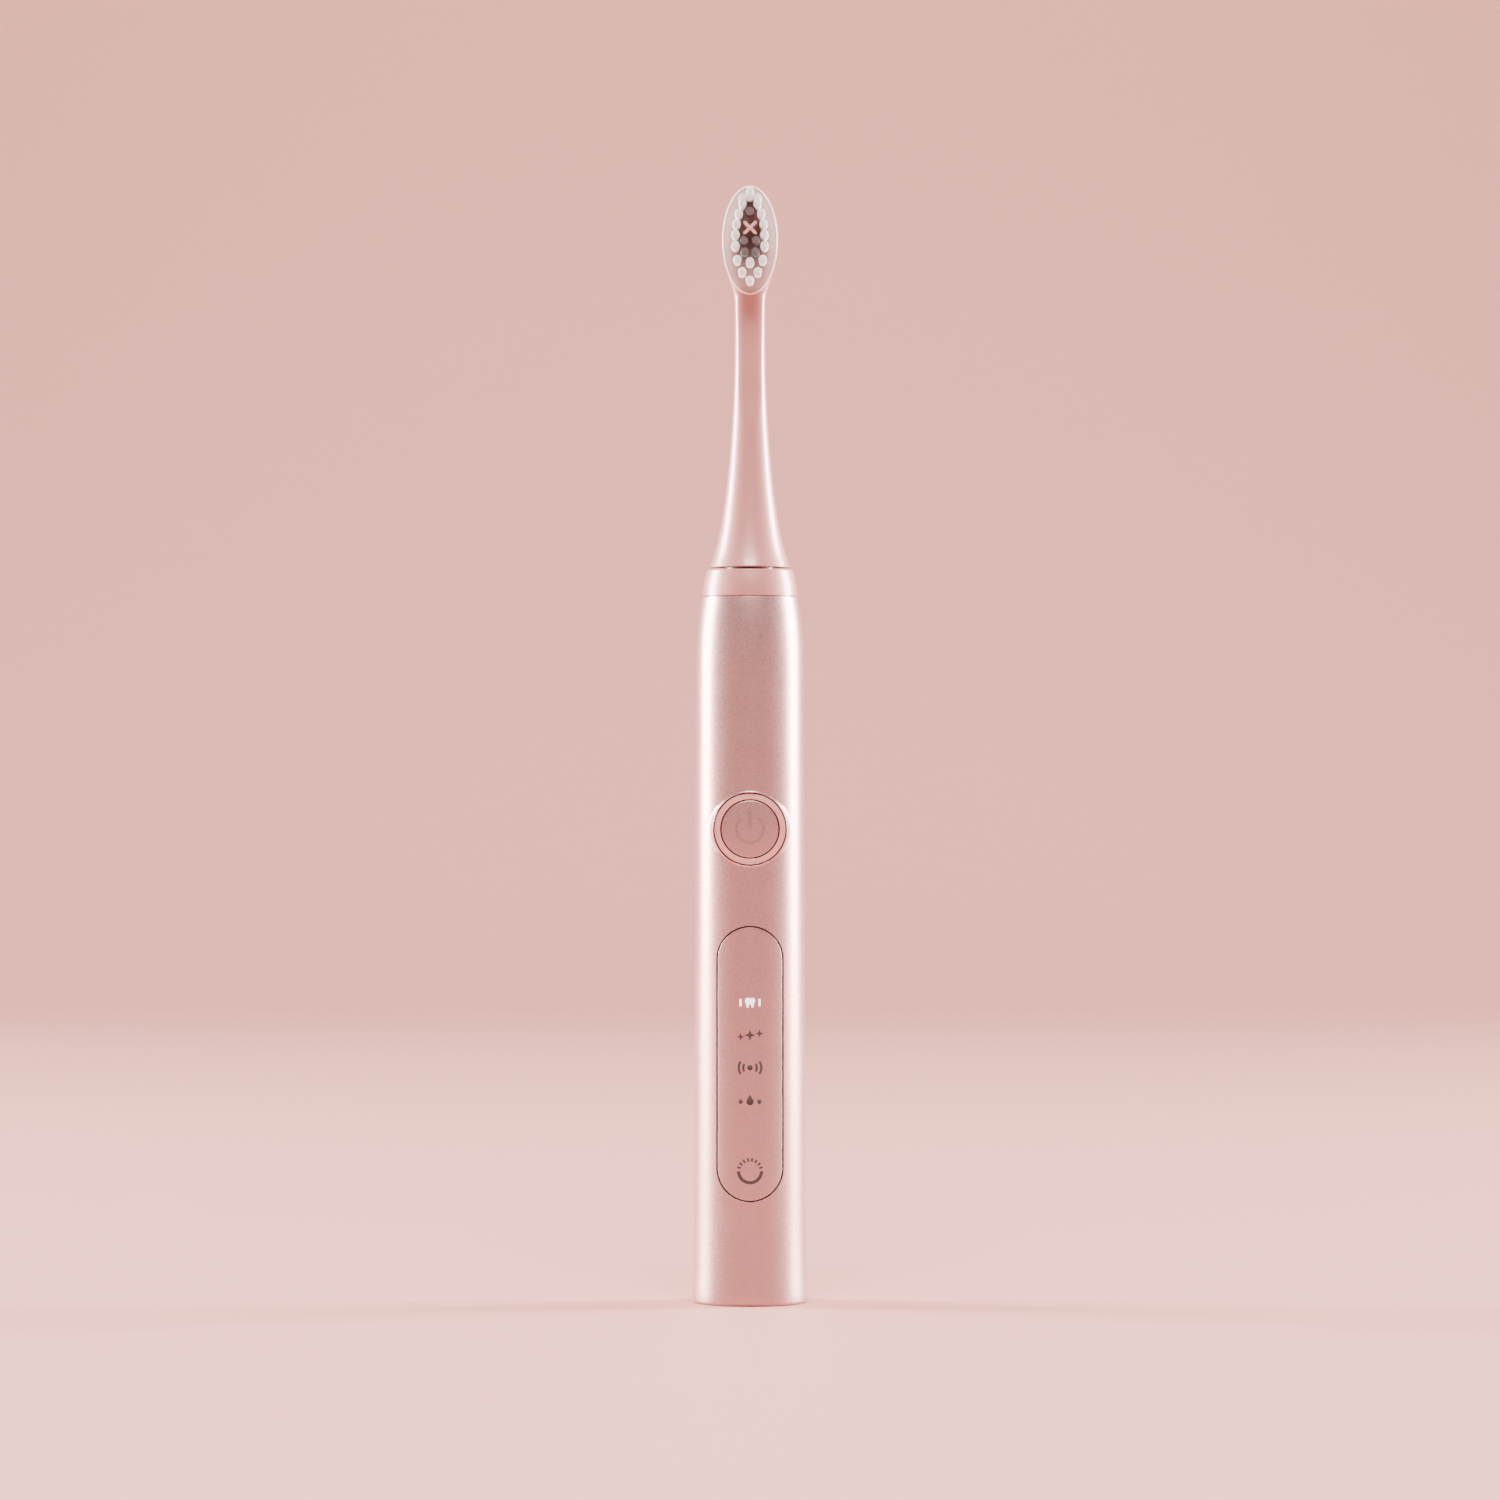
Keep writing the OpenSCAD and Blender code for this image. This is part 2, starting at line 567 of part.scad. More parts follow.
module drive_shaft() color("silver") difference() {
    turned([[0, shaft_z0], [shaft_r, shaft_z0], [shaft_r, shaft_z1 - shaft_tip],
        [shaft_r - shaft_tip, shaft_z1], [0, shaft_z1]]);
    front_block(0, 4 * shaft_r, flat_y, 2 * shaft_r, shaft_z1 - flat_l, shaft_z1 + cut);
}
module rotor_hub() color("slategray") ring(shaft_r + 0.01, hub_r, hub_z0, hub_z1);
module rotor_magnets() color("gray") for (a = [45 : 90 : 315]) rotate(a - 36) rotate_extrude(angle = 72)
    polygon([[hub_r + 0.01, hub_z0], [magnet_r, hub_z0], [magnet_r, hub_z1], [hub_r + 0.01, hub_z1]]);

// ---- Brush head ----
flare_l = 52;                                        // length over which the neck widens to its foot
flare_wide = 3.95;
flare_foot = 1.65;
flare_fall = 6.5;
neck_steps = 20;
plate_a = head_a - rim_w;
plate_b = head_b - rim_w;
field_y = rim_y - field_recess;
pocket_y = field_y - plate_t;
anchor_l = 0.7;
socket_out = shaft_r + 1.45;
socket_z0 = boss_top + 1.8;
socket_z1 = shaft_z1 + 2;
neck_taper = 2.8;                                    // angle at which the neck thins towards the head
head_back = rim_y - head_t;

// Outer radius of the neck at height s above its foot: a square-law flare and a small trumpet at the foot.
function neck_radius(s) =
    neck_r + flare_wide * pow(max(0, 1 - s / flare_l), 2) + flare_foot * exp(-s / flare_fall);

module brush_neck() color("pink") difference() {
    union() {
        difference() {
            turned(concat([[0, foot_z]],
                [for (i = [0 : neck_steps]) let (s = flare_l * i / neck_steps) [neck_radius(s), foot_z + s]],
                [[neck_r, head_z - head_b + 5], [0, head_z - head_b + 5]]));
            for (s = [-1, 1]) translate([0, s * (neck_r + 0.1), head_z - head_b - 20])
                rotate([s * neck_taper, 0, 0]) translate([-base_r, s > 0 ? 0 : -base_r, 0])
                    cube([2 * base_r, base_r, 40]);
        }
        front(head_z) translate([0, 0, head_back]) linear_extrude(head_t) polygon(ellipse(head_a, head_b));
    }
    front(head_z) translate([0, 0, pocket_y]) linear_extrude(head_t)
        polygon(ellipse(plate_a + fit, plate_b + fit));
    turned([[0, foot_z - cut], [neck_radius(0) - neck_wall, foot_z - cut],
        [neck_radius(0) - neck_wall, foot_z], [socket_out + fit, foot_z + 10],
        [socket_out + fit, socket_z1 + 0.3], [0, socket_z1 + 0.3]]);
}

// Each row is [x, height, stretch]: x and height are shares of the plate's half width and half length,
// stretch is the extra height of an oblong tuft, and a row with x above 0 stands on both sides.
white_rows = [[0, 0.815, 0.9], [0.3, 0.66, 1], [0.44, 0.44, 0], [0.53, 0.235, 0], [0.56, 0.035, 0],
    [0.56, -0.18, 0], [0.49, -0.44, 0], [0.31, -0.68, 0], [0, -0.835, 0], [0, -0.48, 0]];
grey_rows = [[0, 0.495, 0], [0.217, -0.065, 0], [0.214, -0.287, 0]];
cross_z = head_z + 0.2 * plate_b;
cross_r = 2.05;
cross_w = 0.75;
cross_l = tuft_l - 2.3;
grey_l = tuft_l - 1.1;

module tuft_places(rows) for (t = rows, s = t[0] > 0 ? [-1, 1] : [1])
    front(head_z) translate([s * t[0] * plate_a, t[1] * plate_b, 0]) union() {
        $stretch = t[2];
        children();
    }
module tufts(rows, r, y0, y1) tuft_places(rows) translate([0, 0, y0]) linear_extrude(y1 - y0) {
    for (e = $stretch > 0 ? [-1, 1] : [0]) translate([0, e * $stretch / 2]) circle(r = r, $fn = 32);
    if ($stretch > 0) square([2 * r, $stretch], center = true);
}
module cross(y0, y1, grow = 0) front(cross_z) translate([0, 0, y0]) linear_extrude(y1 - y0)
    for (a = [45, 135]) rotate(a) square([2 * (cross_r + grow), cross_w + 2 * grow], center = true);

module bristle_plate() color("mistyrose") difference() {
    front(head_z) translate([0, 0, pocket_y + 0.02]) linear_extrude(plate_t - 0.02)
        polygon(ellipse(plate_a, plate_b));
    tufts(white_rows, tuft_r + 0.02, pocket_y - cut, rim_y + cut);
    tufts(grey_rows, tuft_r + 0.02, pocket_y - cut, rim_y + cut);
    cross(pocket_y - cut, rim_y + cut, 0.02);
}
module white_tufts() color("white") tufts(white_rows, tuft_r, pocket_y + anchor_l, field_y + tuft_l);
module grey_tufts() color("gray") tufts(grey_rows, tuft_r, pocket_y + anchor_l, field_y + grey_l);
module polisher_cross() color("lightpink") cross(pocket_y + 0.05, field_y + cross_l);
module tuft_anchors() color("goldenrod") tuft_places(concat(white_rows, grey_rows))
    translate([-tuft_r + 0.06, -0.15, pocket_y + 0.02]) cube([2 * tuft_r - 0.12, 0.3, anchor_l - 0.05]);

clip_z0 = shaft_z1 - flat_l + 2;
clip_l = 9;
clip_t = 0.25;
module shaft_socket() color("ivory") difference() {
    ring(0, socket_out, socket_z0, socket_z1);
    difference() {
        translate([0, 0, socket_z0 - cut])
            cylinder(h = shaft_z1 + 0.6 - socket_z0 + cut, r = shaft_r + shaft_fit);
        front_block(0, 4 * shaft_r, flat_y + fit, 2 * shaft_r, shaft_z1 - flat_l + 0.4, shaft_z1 + 1);
    }
    front_block(0, 2.4, flat_y, flat_y + 2 * clip_t, clip_z0 - 0.1, clip_z0 + clip_l + 0.1);
}
module retaining_clip() color("silver")
    front_block(0, 2.3, flat_y + fit, flat_y + fit + clip_t, clip_z0, clip_z0 + clip_l);

handle_shell();
nose_collar();
nose_seal();
shaft_seal();
seal_retainer();
button_bezel();
button_gasket();
control_panel();
mode_icon(0);  // mode_icon_1
mode_icon(1);  // mode_icon_2
mode_icon(2);  // mode_icon_3
mode_icon(3);  // mode_icon_4
mode_icon(4);  // gauge_icon
light_pipes();
light_shield();
status_leds();
circuit_board();
controller_chip();
board_components();
board_screws();
switch_body();
switch_plunger();
power_button();
chassis();
motor_can();
front_bracket();
rear_bracket();
front_bearing();
rear_bearing();
stator_core();
stator_coils();
motor_dampers();
motor_leads();
drive_shaft();
rotor_hub();
rotor_magnets();
battery_cell();
battery_tabs();
bottom_cap();
bottom_seal();
coil_bobbin();
charge_coil();
coil_leads();
brush_neck();
bristle_plate();
white_tufts();
grey_tufts();
polisher_cross();
tuft_anchors();
shaft_socket();
retaining_clip();
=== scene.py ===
import bmesh
import bpy
import math
import mathutils
import numpy as np
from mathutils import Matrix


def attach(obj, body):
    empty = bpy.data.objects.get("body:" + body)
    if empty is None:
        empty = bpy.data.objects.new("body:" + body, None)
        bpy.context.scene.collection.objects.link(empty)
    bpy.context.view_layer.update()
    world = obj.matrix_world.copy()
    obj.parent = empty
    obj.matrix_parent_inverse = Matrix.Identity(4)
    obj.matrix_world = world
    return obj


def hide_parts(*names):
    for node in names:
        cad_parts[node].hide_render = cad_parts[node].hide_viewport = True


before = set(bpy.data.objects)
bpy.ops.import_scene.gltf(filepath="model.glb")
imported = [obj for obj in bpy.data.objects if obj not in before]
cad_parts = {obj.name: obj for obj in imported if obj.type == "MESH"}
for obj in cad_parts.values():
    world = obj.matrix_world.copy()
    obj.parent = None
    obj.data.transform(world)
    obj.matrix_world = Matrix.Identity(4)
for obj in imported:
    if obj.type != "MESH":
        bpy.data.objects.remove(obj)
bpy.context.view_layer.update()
mm = 0.001
print("frame loaded")


class Value:
    # a socket whose operators add Math nodes
    def __init__(self, paint, socket):
        self.paint = paint
        self.socket = socket

    def __add__(self, other):
        return self.paint.math("ADD", self, other)

    def __sub__(self, other):
        return self.paint.math("SUBTRACT", self, other)

    def __rsub__(self, other):
        return self.paint.math("SUBTRACT", other, self)

    def __mul__(self, other):
        return self.paint.math("MULTIPLY", self, other)

    def __truediv__(self, other):
        return self.paint.math("DIVIDE", self, other)

    def __pow__(self, other):
        return self.paint.math("POWER", self, other)

    def __gt__(self, other):
        return self.paint.math("GREATER_THAN", self, other)

    __radd__ = __add__
    __rmul__ = __mul__


class Paint:
    # a material whose nodes are all added by node()
    def __init__(self, name):
        self.material = bpy.data.materials.new(name)
        self.material.use_nodes = True
        self.tree = self.material.node_tree
        self.shader = self.tree.nodes["Principled BSDF"]
        self.place = self.node("ShaderNodeTexCoord", {}, {}, "Object")

    def node(self, kind, settings, inputs, output=0):
        made = self.tree.nodes.new(kind)
        for key, value in settings.items():
            if key == "stops":  # a ramp's stops, each a place and a grey
                for k, (place, grey) in enumerate(value):
                    stop = made.color_ramp.elements[k] if k < 2 else made.color_ramp.elements.new(place)
                    stop.position, stop.color = place, (grey, grey, grey, 1)
            else:
                setattr(made, key, value)
        for key, given in inputs.items():
            if isinstance(given, Value):
                self.tree.links.new(given.socket, made.inputs[key])
            else:
                made.inputs[key].default_value = given
        return Value(self, made.outputs[output])

    def set(self, **sockets):
        names = {"color": "Base Color", "rough": "Roughness", "metal": "Metallic", "coat": "Coat Weight",
                 "coatRough": "Coat Roughness", "normal": "Normal", "glow": "Emission Color",
                 "glowStrength": "Emission Strength", "subsurface": "Subsurface Weight",
                 "subsurfaceScale": "Subsurface Scale", "specular": "Specular IOR Level"}
        for key, given in sockets.items():
            socket = self.shader.inputs[names[key]]
            if isinstance(given, Value):
                self.tree.links.new(given.socket, socket)
            else:
                socket.default_value = given
        return self.material

    def math(self, operation, first, second=0.0):
        return self.node("ShaderNodeMath", {"operation": operation}, {0: first, 1: second})

    def noise(self, size, detail=2.0, stretch=(1, 1, 1)):
        # grey noise whose grains are about size millimetres across
        where = self.node("ShaderNodeMapping", {}, {"Vector": self.place, "Scale": stretch})
        return self.node("ShaderNodeTexNoise", {},
                         {"Vector": where, "Scale": 1 / (size * mm), "Detail": detail})

    def mix(self, amount, first, second):
        return self.node("ShaderNodeMix", {"data_type": "RGBA"}, {0: amount, 6: first, 7: second}, 2)

    def bump(self, height, depth, under=None):
        # depth in millimetres
        inputs = {"Height": height, "Distance": depth * mm, "Strength": 1.0}
        if under is not None:
            inputs["Normal"] = under
        return self.node("ShaderNodeBump", {}, inputs)


def tint(color, factor):
    # the colour made darker or lighter
    return tuple(min(1.0, c * factor) for c in color[:3]) + (1.0,)


# the satin lacquer, with the size of a flake, and the sign on the button, in millimetres and degrees
lacquerLook = dict(color=(0.46, 0.243, 0.228), metal=0.75, rough=0.3, flake=0.15, coat=0.1)
powerMark = dict(height=105.7, radius=3.0, stroke=0.62, opening=40, bar=(0.4, 0.15, 4.0), soft=0.05,
                 shade=0.8)


def powerMarkMask(paint):
    # 1 on a broken ring and an upright bar, seen from the front, from distances in millimetres
    def within(distance, limit):
        return 1 - paint.node("ShaderNodeClamp", {}, {0: (distance - limit) / powerMark["soft"]})

    apart = paint.node("ShaderNodeSeparateXYZ", {}, {0: paint.place})
    x = apart * (1 / mm)
    up = Value(paint, apart.socket.node.outputs["Z"]) * (1 / mm) - powerMark["height"]
    sideways = paint.math("ABSOLUTE", x)
    away = (x * x + up * up) ** 0.5
    ring = within(paint.math("ABSOLUTE", away - powerMark["radius"]), powerMark["stroke"] / 2)
    ring = ring * (paint.math("ARCTAN2", sideways, up) > math.radians(powerMark["opening"]))
    half, low, high = powerMark["bar"]
    tall = paint.math("ABSOLUTE", up - (low + high) / 2)
    bar = within(sideways, half) * within(tall, (high - low) / 2)
    return paint.math("MAXIMUM", ring, bar)


def lacquer(name, mark=False):
    # satin metallic lacquer: fine flakes glint, with a faint cloudiness and orange peel
    paint = Paint(name)
    base = lacquerLook["color"]
    flakes = paint.node("ShaderNodeTexVoronoi", {},
                        {"Vector": paint.place, "Scale": 1 / (lacquerLook["flake"] * mm)}, "Color")
    glint = paint.node("ShaderNodeSeparateColor", {}, {"Color": flakes})
    cloud = paint.noise(9.0)
    peel = paint.noise(0.9, 1.0)
    color = paint.mix(glint * 0.3 + cloud * 0.1 + 0.15, tint(base, 0.9), tint(base, 1.22))
    if mark:
        color = paint.mix(powerMarkMask(paint) * 0.9, color, tint(base, powerMark["shade"]))
    rough = lacquerLook["rough"] + (glint - 0.5) * 0.14 + cloud * 0.05
    normal = paint.bump(glint, 0.0014, paint.bump(peel, 0.0005))
    return paint.set(color=color, metal=lacquerLook["metal"], rough=rough, coat=lacquerLook["coat"],
                     coatRough=0.12, normal=normal)


def glossPlastic(name, color, rough=0.2, grain=0.7, coat=0.3, subsurface=0.0, metal=0.0):
    # moulded glossy plastic: a faint flow pattern, polishing haze and tiny scuffs
    paint = Paint(name)
    flow = paint.noise(6.0, 3.0, (1, 1, 0.35))
    haze = paint.noise(1.6, 2.0)
    scuff = paint.node("ShaderNodeValToRGB", {"stops": [(0.62, 0.0), (0.7, 1.0)]},
                       {0: paint.noise(0.5, 3.0, (1, 1, 0.12))})
    normal = paint.bump(paint.noise(grain, 1.0), 0.0011)
    return paint.set(color=paint.mix(flow, tint(color, 0.95), tint(color, 1.05)), metal=metal,
                     rough=rough + haze * 0.06 + scuff * 0.05, coat=coat, coatRough=0.08, normal=normal,
                     subsurface=subsurface, subsurfaceScale=0.8 * mm)


def mattePlastic(name, color, rough=0.55, grain=0.25):
    # spark-eroded texture with slight mottling
    paint = Paint(name)
    mottle = paint.noise(3.0, 3.0)
    spark = paint.noise(grain, 2.0)
    return paint.set(color=paint.mix(mottle, tint(color, 0.92), tint(color, 1.06)),
                     rough=rough + spark * 0.12, normal=paint.bump(spark, 0.004))


def rubber(name, color, rough=0.7, specular=0.2):
    # soft rubber with a dusty bloom
    paint = Paint(name)
    bloom = paint.noise(1.2, 4.0)
    return paint.set(color=paint.mix(bloom * 0.6, tint(color, 0.92), tint(color, 1.25)),
                     rough=rough + bloom * 0.15, normal=paint.bump(paint.noise(0.2, 2.0), 0.003),
                     specular=specular)


def turnedMetal(name, color, rough=0.25, along=(1, 1, 14), line=0.5, metal=1.0):
    # metal with fine machining lines and slight tarnish
    paint = Paint(name)
    lines = paint.noise(line, 2.0, along)
    tarnish = paint.noise(2.5, 4.0)
    return paint.set(color=paint.mix(tarnish, tint(color, 0.86), tint(color, 1.08)), metal=metal,
                     rough=rough + lines * 0.14 + tarnish * 0.08, normal=paint.bump(lines, 0.0015))


def wound(name, color, wire=0.22):
    # layers of enamelled wire: a wave along the height with each turn's round crest; the wave also paints
    # shade between the turns and a highlight on each crest
    paint = Paint(name)
    turns = paint.node("ShaderNodeTexWave", {"bands_direction": "Z", "wave_profile": "SIN"},
                       {"Vector": paint.place, "Scale": 0.314 / (wire * mm), "Distortion": 0.6})
    shade = paint.noise(1.0, 3.0)
    # the colour's wave is painted shade in the creases between turns and a painted highlight on the crests
    return paint.set(color=paint.mix(turns * 0.7 + shade * 0.3, tint(color, 0.45), tint(color, 1.15)),
                     metal=0.9, rough=0.26 + shade * 0.12, normal=paint.bump(turns, 0.05))


def laminated(name, color):
    # stacked sheets of core steel
    paint = Paint(name)
    sheets = paint.node("ShaderNodeTexWave", {"bands_direction": "Z", "wave_profile": "SAW"},
                        {"Vector": paint.place, "Scale": 0.314 / (0.35 * mm), "Distortion": 0.2})
    rust = paint.noise(1.4, 4.0)
    return paint.set(color=paint.mix(rust, tint(color, 0.7), tint(color, 1.2)), metal=0.85,
                     rough=0.42 + sheets * 0.2, normal=paint.bump(sheets, 0.02))


def boardGreen(name, color):
    # solder mask with faint tracks under it
    paint = Paint(name)
    tracks = paint.node("ShaderNodeTexBrick", {},
                        {"Vector": paint.place, "Scale": 420.0, "Mortar Size": 0.06}, "Fac")
    mottle = paint.noise(2.0, 3.0)
    return paint.set(color=paint.mix(tracks * 0.5 + mottle * 0.2, tint(color, 1.0), tint(color, 2.1)),
                     rough=0.32 + mottle * 0.12, coat=0.3, normal=paint.bump(tracks, 0.02))


def nylon(name, color, subsurface):
    # filament nylon: each grain of the noise is about one filament wide
    paint = Paint(name)
    strand = paint.noise(0.22, 1.0, (1, 0.05, 1))
    return paint.set(color=paint.mix(strand, tint(color, 0.94), tint(color, 1.06)),
                     rough=0.42 + strand * 0.1, normal=paint.bump(strand, 0.01), subsurface=subsurface,
                     subsurfaceScale=0.5 * mm)


def litMark(name):
    # translucent mark with a lamp behind it
    paint = Paint(name)
    glow = paint.noise(0.8, 2.0)
    shine = paint.mix(glow, (1.0, 0.96, 0.94, 1), (1.0, 1.0, 1.0, 1))
    return paint.set(color=(0.95, 0.95, 0.94, 1), rough=0.4 + glow * 0.1, glow=shine, glowStrength=1.3,
                     normal=paint.bump(glow, 0.002))


# finishes by the record's slot names, and three more that share a slot
looks = {
    "rose_lacquer": lacquer("roseLacquer"),
    "buttonLacquer": lacquer("buttonLacquer", mark=True),
    "rose_gloss": glossPlastic("roseGloss", (0.46, 0.19, 0.168), 0.34, metal=0.2),
    "bezel_rose": glossPlastic("bezelRose", (0.64, 0.275, 0.255), 0.3, metal=0.15),
    # the rim's pale colour is a painted highlight along its crest
    "rimPaintedHighlight": glossPlastic("rimPaintedHighlight", (0.90, 0.72, 0.66), 0.3),
    "dark_rubber": rubber("darkRubber", (0.045, 0.043, 0.045)),
    # near-black fill for the gaps round the panel, bezel and button: painted shade
    "seamShadowFill": rubber("seamShadowFill", (0.014, 0.009, 0.009), 0.85, 0.03),
    "pale_rubber": rubber("paleRubber", (0.62, 0.6, 0.58)),
    "pale_plastic": mattePlastic("palePlastic", (0.78, 0.76, 0.73)),
    "black_plastic": mattePlastic("blackPlastic", (0.022, 0.022, 0.024), 0.5),
    "clear_plastic": glossPlastic("lightPipe", (0.86, 0.87, 0.86), 0.16, 0.5, 0.5, 0.4),
    "lamp_plastic": glossPlastic("lampLens", (0.86, 0.82, 0.52), 0.2, 0.3, 0.4, 0.2),
    "lit_icon": litMark("litMark"),
    "dim_icon": mattePlastic("dimMark", (0.032, 0.019, 0.017), 0.6, 0.15),
    "board_green": boardGreen("boardGreen", (0.012, 0.10, 0.045)),
    "component_tan": mattePlastic("componentTan", (0.42, 0.29, 0.17), 0.45, 0.12),
    "bright_steel": turnedMetal("brightSteel", (0.66, 0.66, 0.68), 0.16),
    "core_steel": laminated("coreSteel", (0.25, 0.26, 0.28)),
    "bearing_bronze": turnedMetal("bearingBronze", (0.55, 0.36, 0.16), 0.34),
    "copper_wire": wound("copperWire", (0.75, 0.32, 0.14)),
    "red_lead": rubber("redLead", (0.42, 0.02, 0.02), 0.45),
    "magnet": turnedMetal("nickelMagnet", (0.55, 0.54, 0.52), 0.14, (1, 1, 1), 1.2),
    "cell_sleeve": glossPlastic("cellSleeve", (0.035, 0.24, 0.27), 0.24, 1.6),
    "plate_rose": mattePlastic("plateRose", (0.42, 0.27, 0.255), 0.6, 0.35),
    "white_nylon": nylon("whiteNylon", (0.95, 0.945, 0.93), 0.12),
    "grey_nylon": nylon("greyNylon", (0.19, 0.162, 0.158), 0.1),
    "pink_rubber": rubber("pinkRubber", (0.52, 0.28, 0.255), 0.5),
    "anchor_brass": turnedMetal("anchorBrass", (0.72, 0.55, 0.22), 0.24),
}
print("materials made", len(looks))


def gridQuads(rows, cols, loop=False):
    # quads of a rows by cols grid of points; loop joins the last column to the first
    i, j = np.meshgrid(np.arange(rows - 1), np.arange(cols if loop else cols - 1), indexing="ij")
    k = (j + 1) % cols
    corners = [i * cols + j, i * cols + k, (i + 1) * cols + k, (i + 1) * cols + j]
    return np.stack(corners, -1).reshape(-1, 4)


def ringGrid(rings):
    # a grid of rings with equally many points, each joined to the next
    points = np.array(rings)
    return points.reshape(-1, 3), gridQuads(len(points), points.shape[1], True)


def repeated(quads, many, size):
    # the quads of one copy, repeated for many copies of size points each
    return (quads[None] + (np.arange(many) * size)[:, None, None]).reshape(-1, 4)


def weld(points, quads, reach=1e-5):
    # points nearer than reach become one, and a quad that loses a corner becomes a triangle
    keys, back = np.unique(np.round(points / reach).astype(np.int64), axis=0, return_inverse=True)
    back = back.reshape(-1)
    kept = np.zeros((len(keys), 3))
    kept[back] = points
    quads = back[quads]
    same = quads == np.roll(quads, -1, axis=1)
    whole = quads[~same.any(1)]
    halves = [np.delete(quads[same[:, k] & (same.sum(1) == 1)], k, axis=1) for k in range(4)]
    return kept, whole, np.concatenate(halves)


def signedVolume(points, quads, triangles):
    # the sum of the pyramids from the origin to every face: below zero on an inside-out mesh
    fans = np.concatenate([quads[:, [0, 1, 2]], quads[:, [0, 2, 3]], triangles])
    a, b, c = (points[fans[:, k]] for k in range(3))
    return np.einsum("ij,ij->i", a, np.cross(b, c)).sum() / 6


def facing(parts):
    # joins open parts into one closed part whose faces agree in direction
    points = np.concatenate([p for p, q in parts])
    starts = np.cumsum([0] + [len(p) for p, q in parts[:-1]])
    quads = np.concatenate([q + s for (p, q), s in zip(parts, starts)])
    mesh = bpy.data.meshes.new("joined")
    kept, whole, triangles = weld(points, quads)
    mesh.from_pydata(kept.tolist(), [], whole.tolist() + triangles.tolist())
    work = bmesh.new()
    work.from_mesh(mesh)
    bmesh.ops.recalc_face_normals(work, faces=work.faces)
    work.to_mesh(mesh)
    work.free()
    corners = [list(p.vertices) for p in mesh.polygons]
    bpy.data.meshes.remove(mesh)
    return kept, np.array([c if len(c) == 4 else c + c[-1:] for c in corners])


def newObject(name, data):
    made = bpy.data.objects.new(name, data)
    bpy.context.collection.objects.link(made)
    return made


def makePiece(name, parts, slot, body, replaced=(), crease=32):
    # parts are closed (points in millimetres, quads), and each is turned to face outwards
    points, polygons, count = [], [], 0
    for partPoints, partQuads in parts:
        kept, quads, triangles = weld(np.asarray(partPoints, float), partQuads)
        if signedVolume(kept, quads, triangles) < 0:
            quads, triangles = quads[:, ::-1], triangles[:, ::-1]
        polygons += (quads + count).tolist() + (triangles + count).tolist()
        points.append(kept)
        count += len(kept)
    mesh = bpy.data.meshes.new(name)
    mesh.from_pydata((np.concatenate(points) * mm).tolist(), [], polygons)
    mesh.validate()
    mesh.shade_smooth()
    mesh.set_sharp_from_angle(angle=math.radians(crease))
    mesh.materials.append(looks[slot])
    piece = newObject(name, mesh)
    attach(piece, body)
    if replaced:
        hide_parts(*replaced)


def rounded(corners, steps=5, closed=True):
    # corners are (across, along, radius); each becomes an arc, with a point just beyond both its ends
    places = np.array([c[:2] for c in corners], float)
    outline = []
    for k, (across, along, radius) in enumerate(corners):
        here = places[k]
        if radius <= 0 or (not closed and k in (0, len(corners) - 1)):
            outline.append(here)
            continue
        before, after = places[k - 1] - here, places[(k + 1) % len(corners)] - here
        longBefore, longAfter = np.linalg.norm(before), np.linalg.norm(after)
        before, after = before / longBefore, after / longAfter
        half = math.acos(np.clip(before @ after, -1, 1)) / 2
        reach = min(radius / math.tan(half), 0.45 * longBefore, 0.45 * longAfter)
        radius = reach * math.tan(half)
        middle = here + (before + after) / np.linalg.norm(before + after) * radius / math.sin(half)
        first, last = here + before * reach, here + after * reach
        support = min(0.12 * reach + 0.02, 0.04 * min(longBefore, longAfter))
        turn = math.pi - 2 * half
        outline.append(first + before * support)
        for a in np.linspace(0, 1, steps):
            spoke = (first - middle) * math.sin((1 - a) * turn) + (last - middle) * math.sin(a * turn)
            outline.append(middle + spoke / math.sin(turn))
        outline.append(last + after * support)
    return np.array(outline)


def lathe(outline, steps=128, closed=True, axis="z", height=0.0):
    # the outline's (radius, along) points turned about the vertical axis, or the front axis at a height
    ring = np.arange(steps) * 2 * math.pi / steps
    radius, along = outline[:, :1], outline[:, 1:] + 0 * ring
    if axis == "z":
        points = np.stack([radius * np.sin(ring), -radius * np.cos(ring), along], -1)
    else:
        points = np.stack([radius * np.cos(ring), -along, height + radius * np.sin(ring)], -1)
    if closed:
        points = np.concatenate([points, points[:1]])
    return ringGrid(points)


def ease(x):
    # smooth step from 0 to 1
    x = np.clip(x, 0, 1)
    return x * x * (3 - 2 * x)


def softMax(a, b, blend):
    # the larger of two heights, rounded off where they are within blend of each other
    near = np.clip(blend - np.abs(a - b), 0, None) / blend
    return np.maximum(a, b) + near ** 2 * blend / 4


def spaced(start, stop, count, crowd=1.0):
    # values from start to stop, crowded towards the start when crowd is above 1
    return start + (stop - start) * np.linspace(0, 1, count) ** crowd


# the handle shell is a tapered tube with a soft boss, a round hole and a long slot
handle = dict(height=157.3, baseRadius=12.9, footFlare=0.33, flareHeight=20.0, flarePower=1.5, taper=0.65,
              shoulder=19.3, shoulderDrop=1.25, shoulderPower=2.85, wall=1.6, footRound=0.8, topRound=0.1)
boss = dict(height=105.7, land=0.4, radius=8.16, fall=8.0, merge=1.1, reach=20)
bezel = dict(radius=7.92, inner=6.6, sleeve=7.1, seat=0.7, depth=2.6, proud=0.1, gap=0.22, lip=0.06,
             drop=0.16)
panel = dict(height=53.7, width=14.9, length=61.2, seam=0.36, edge=0.05, flange=1.0, thick=0.8,
             around=208)


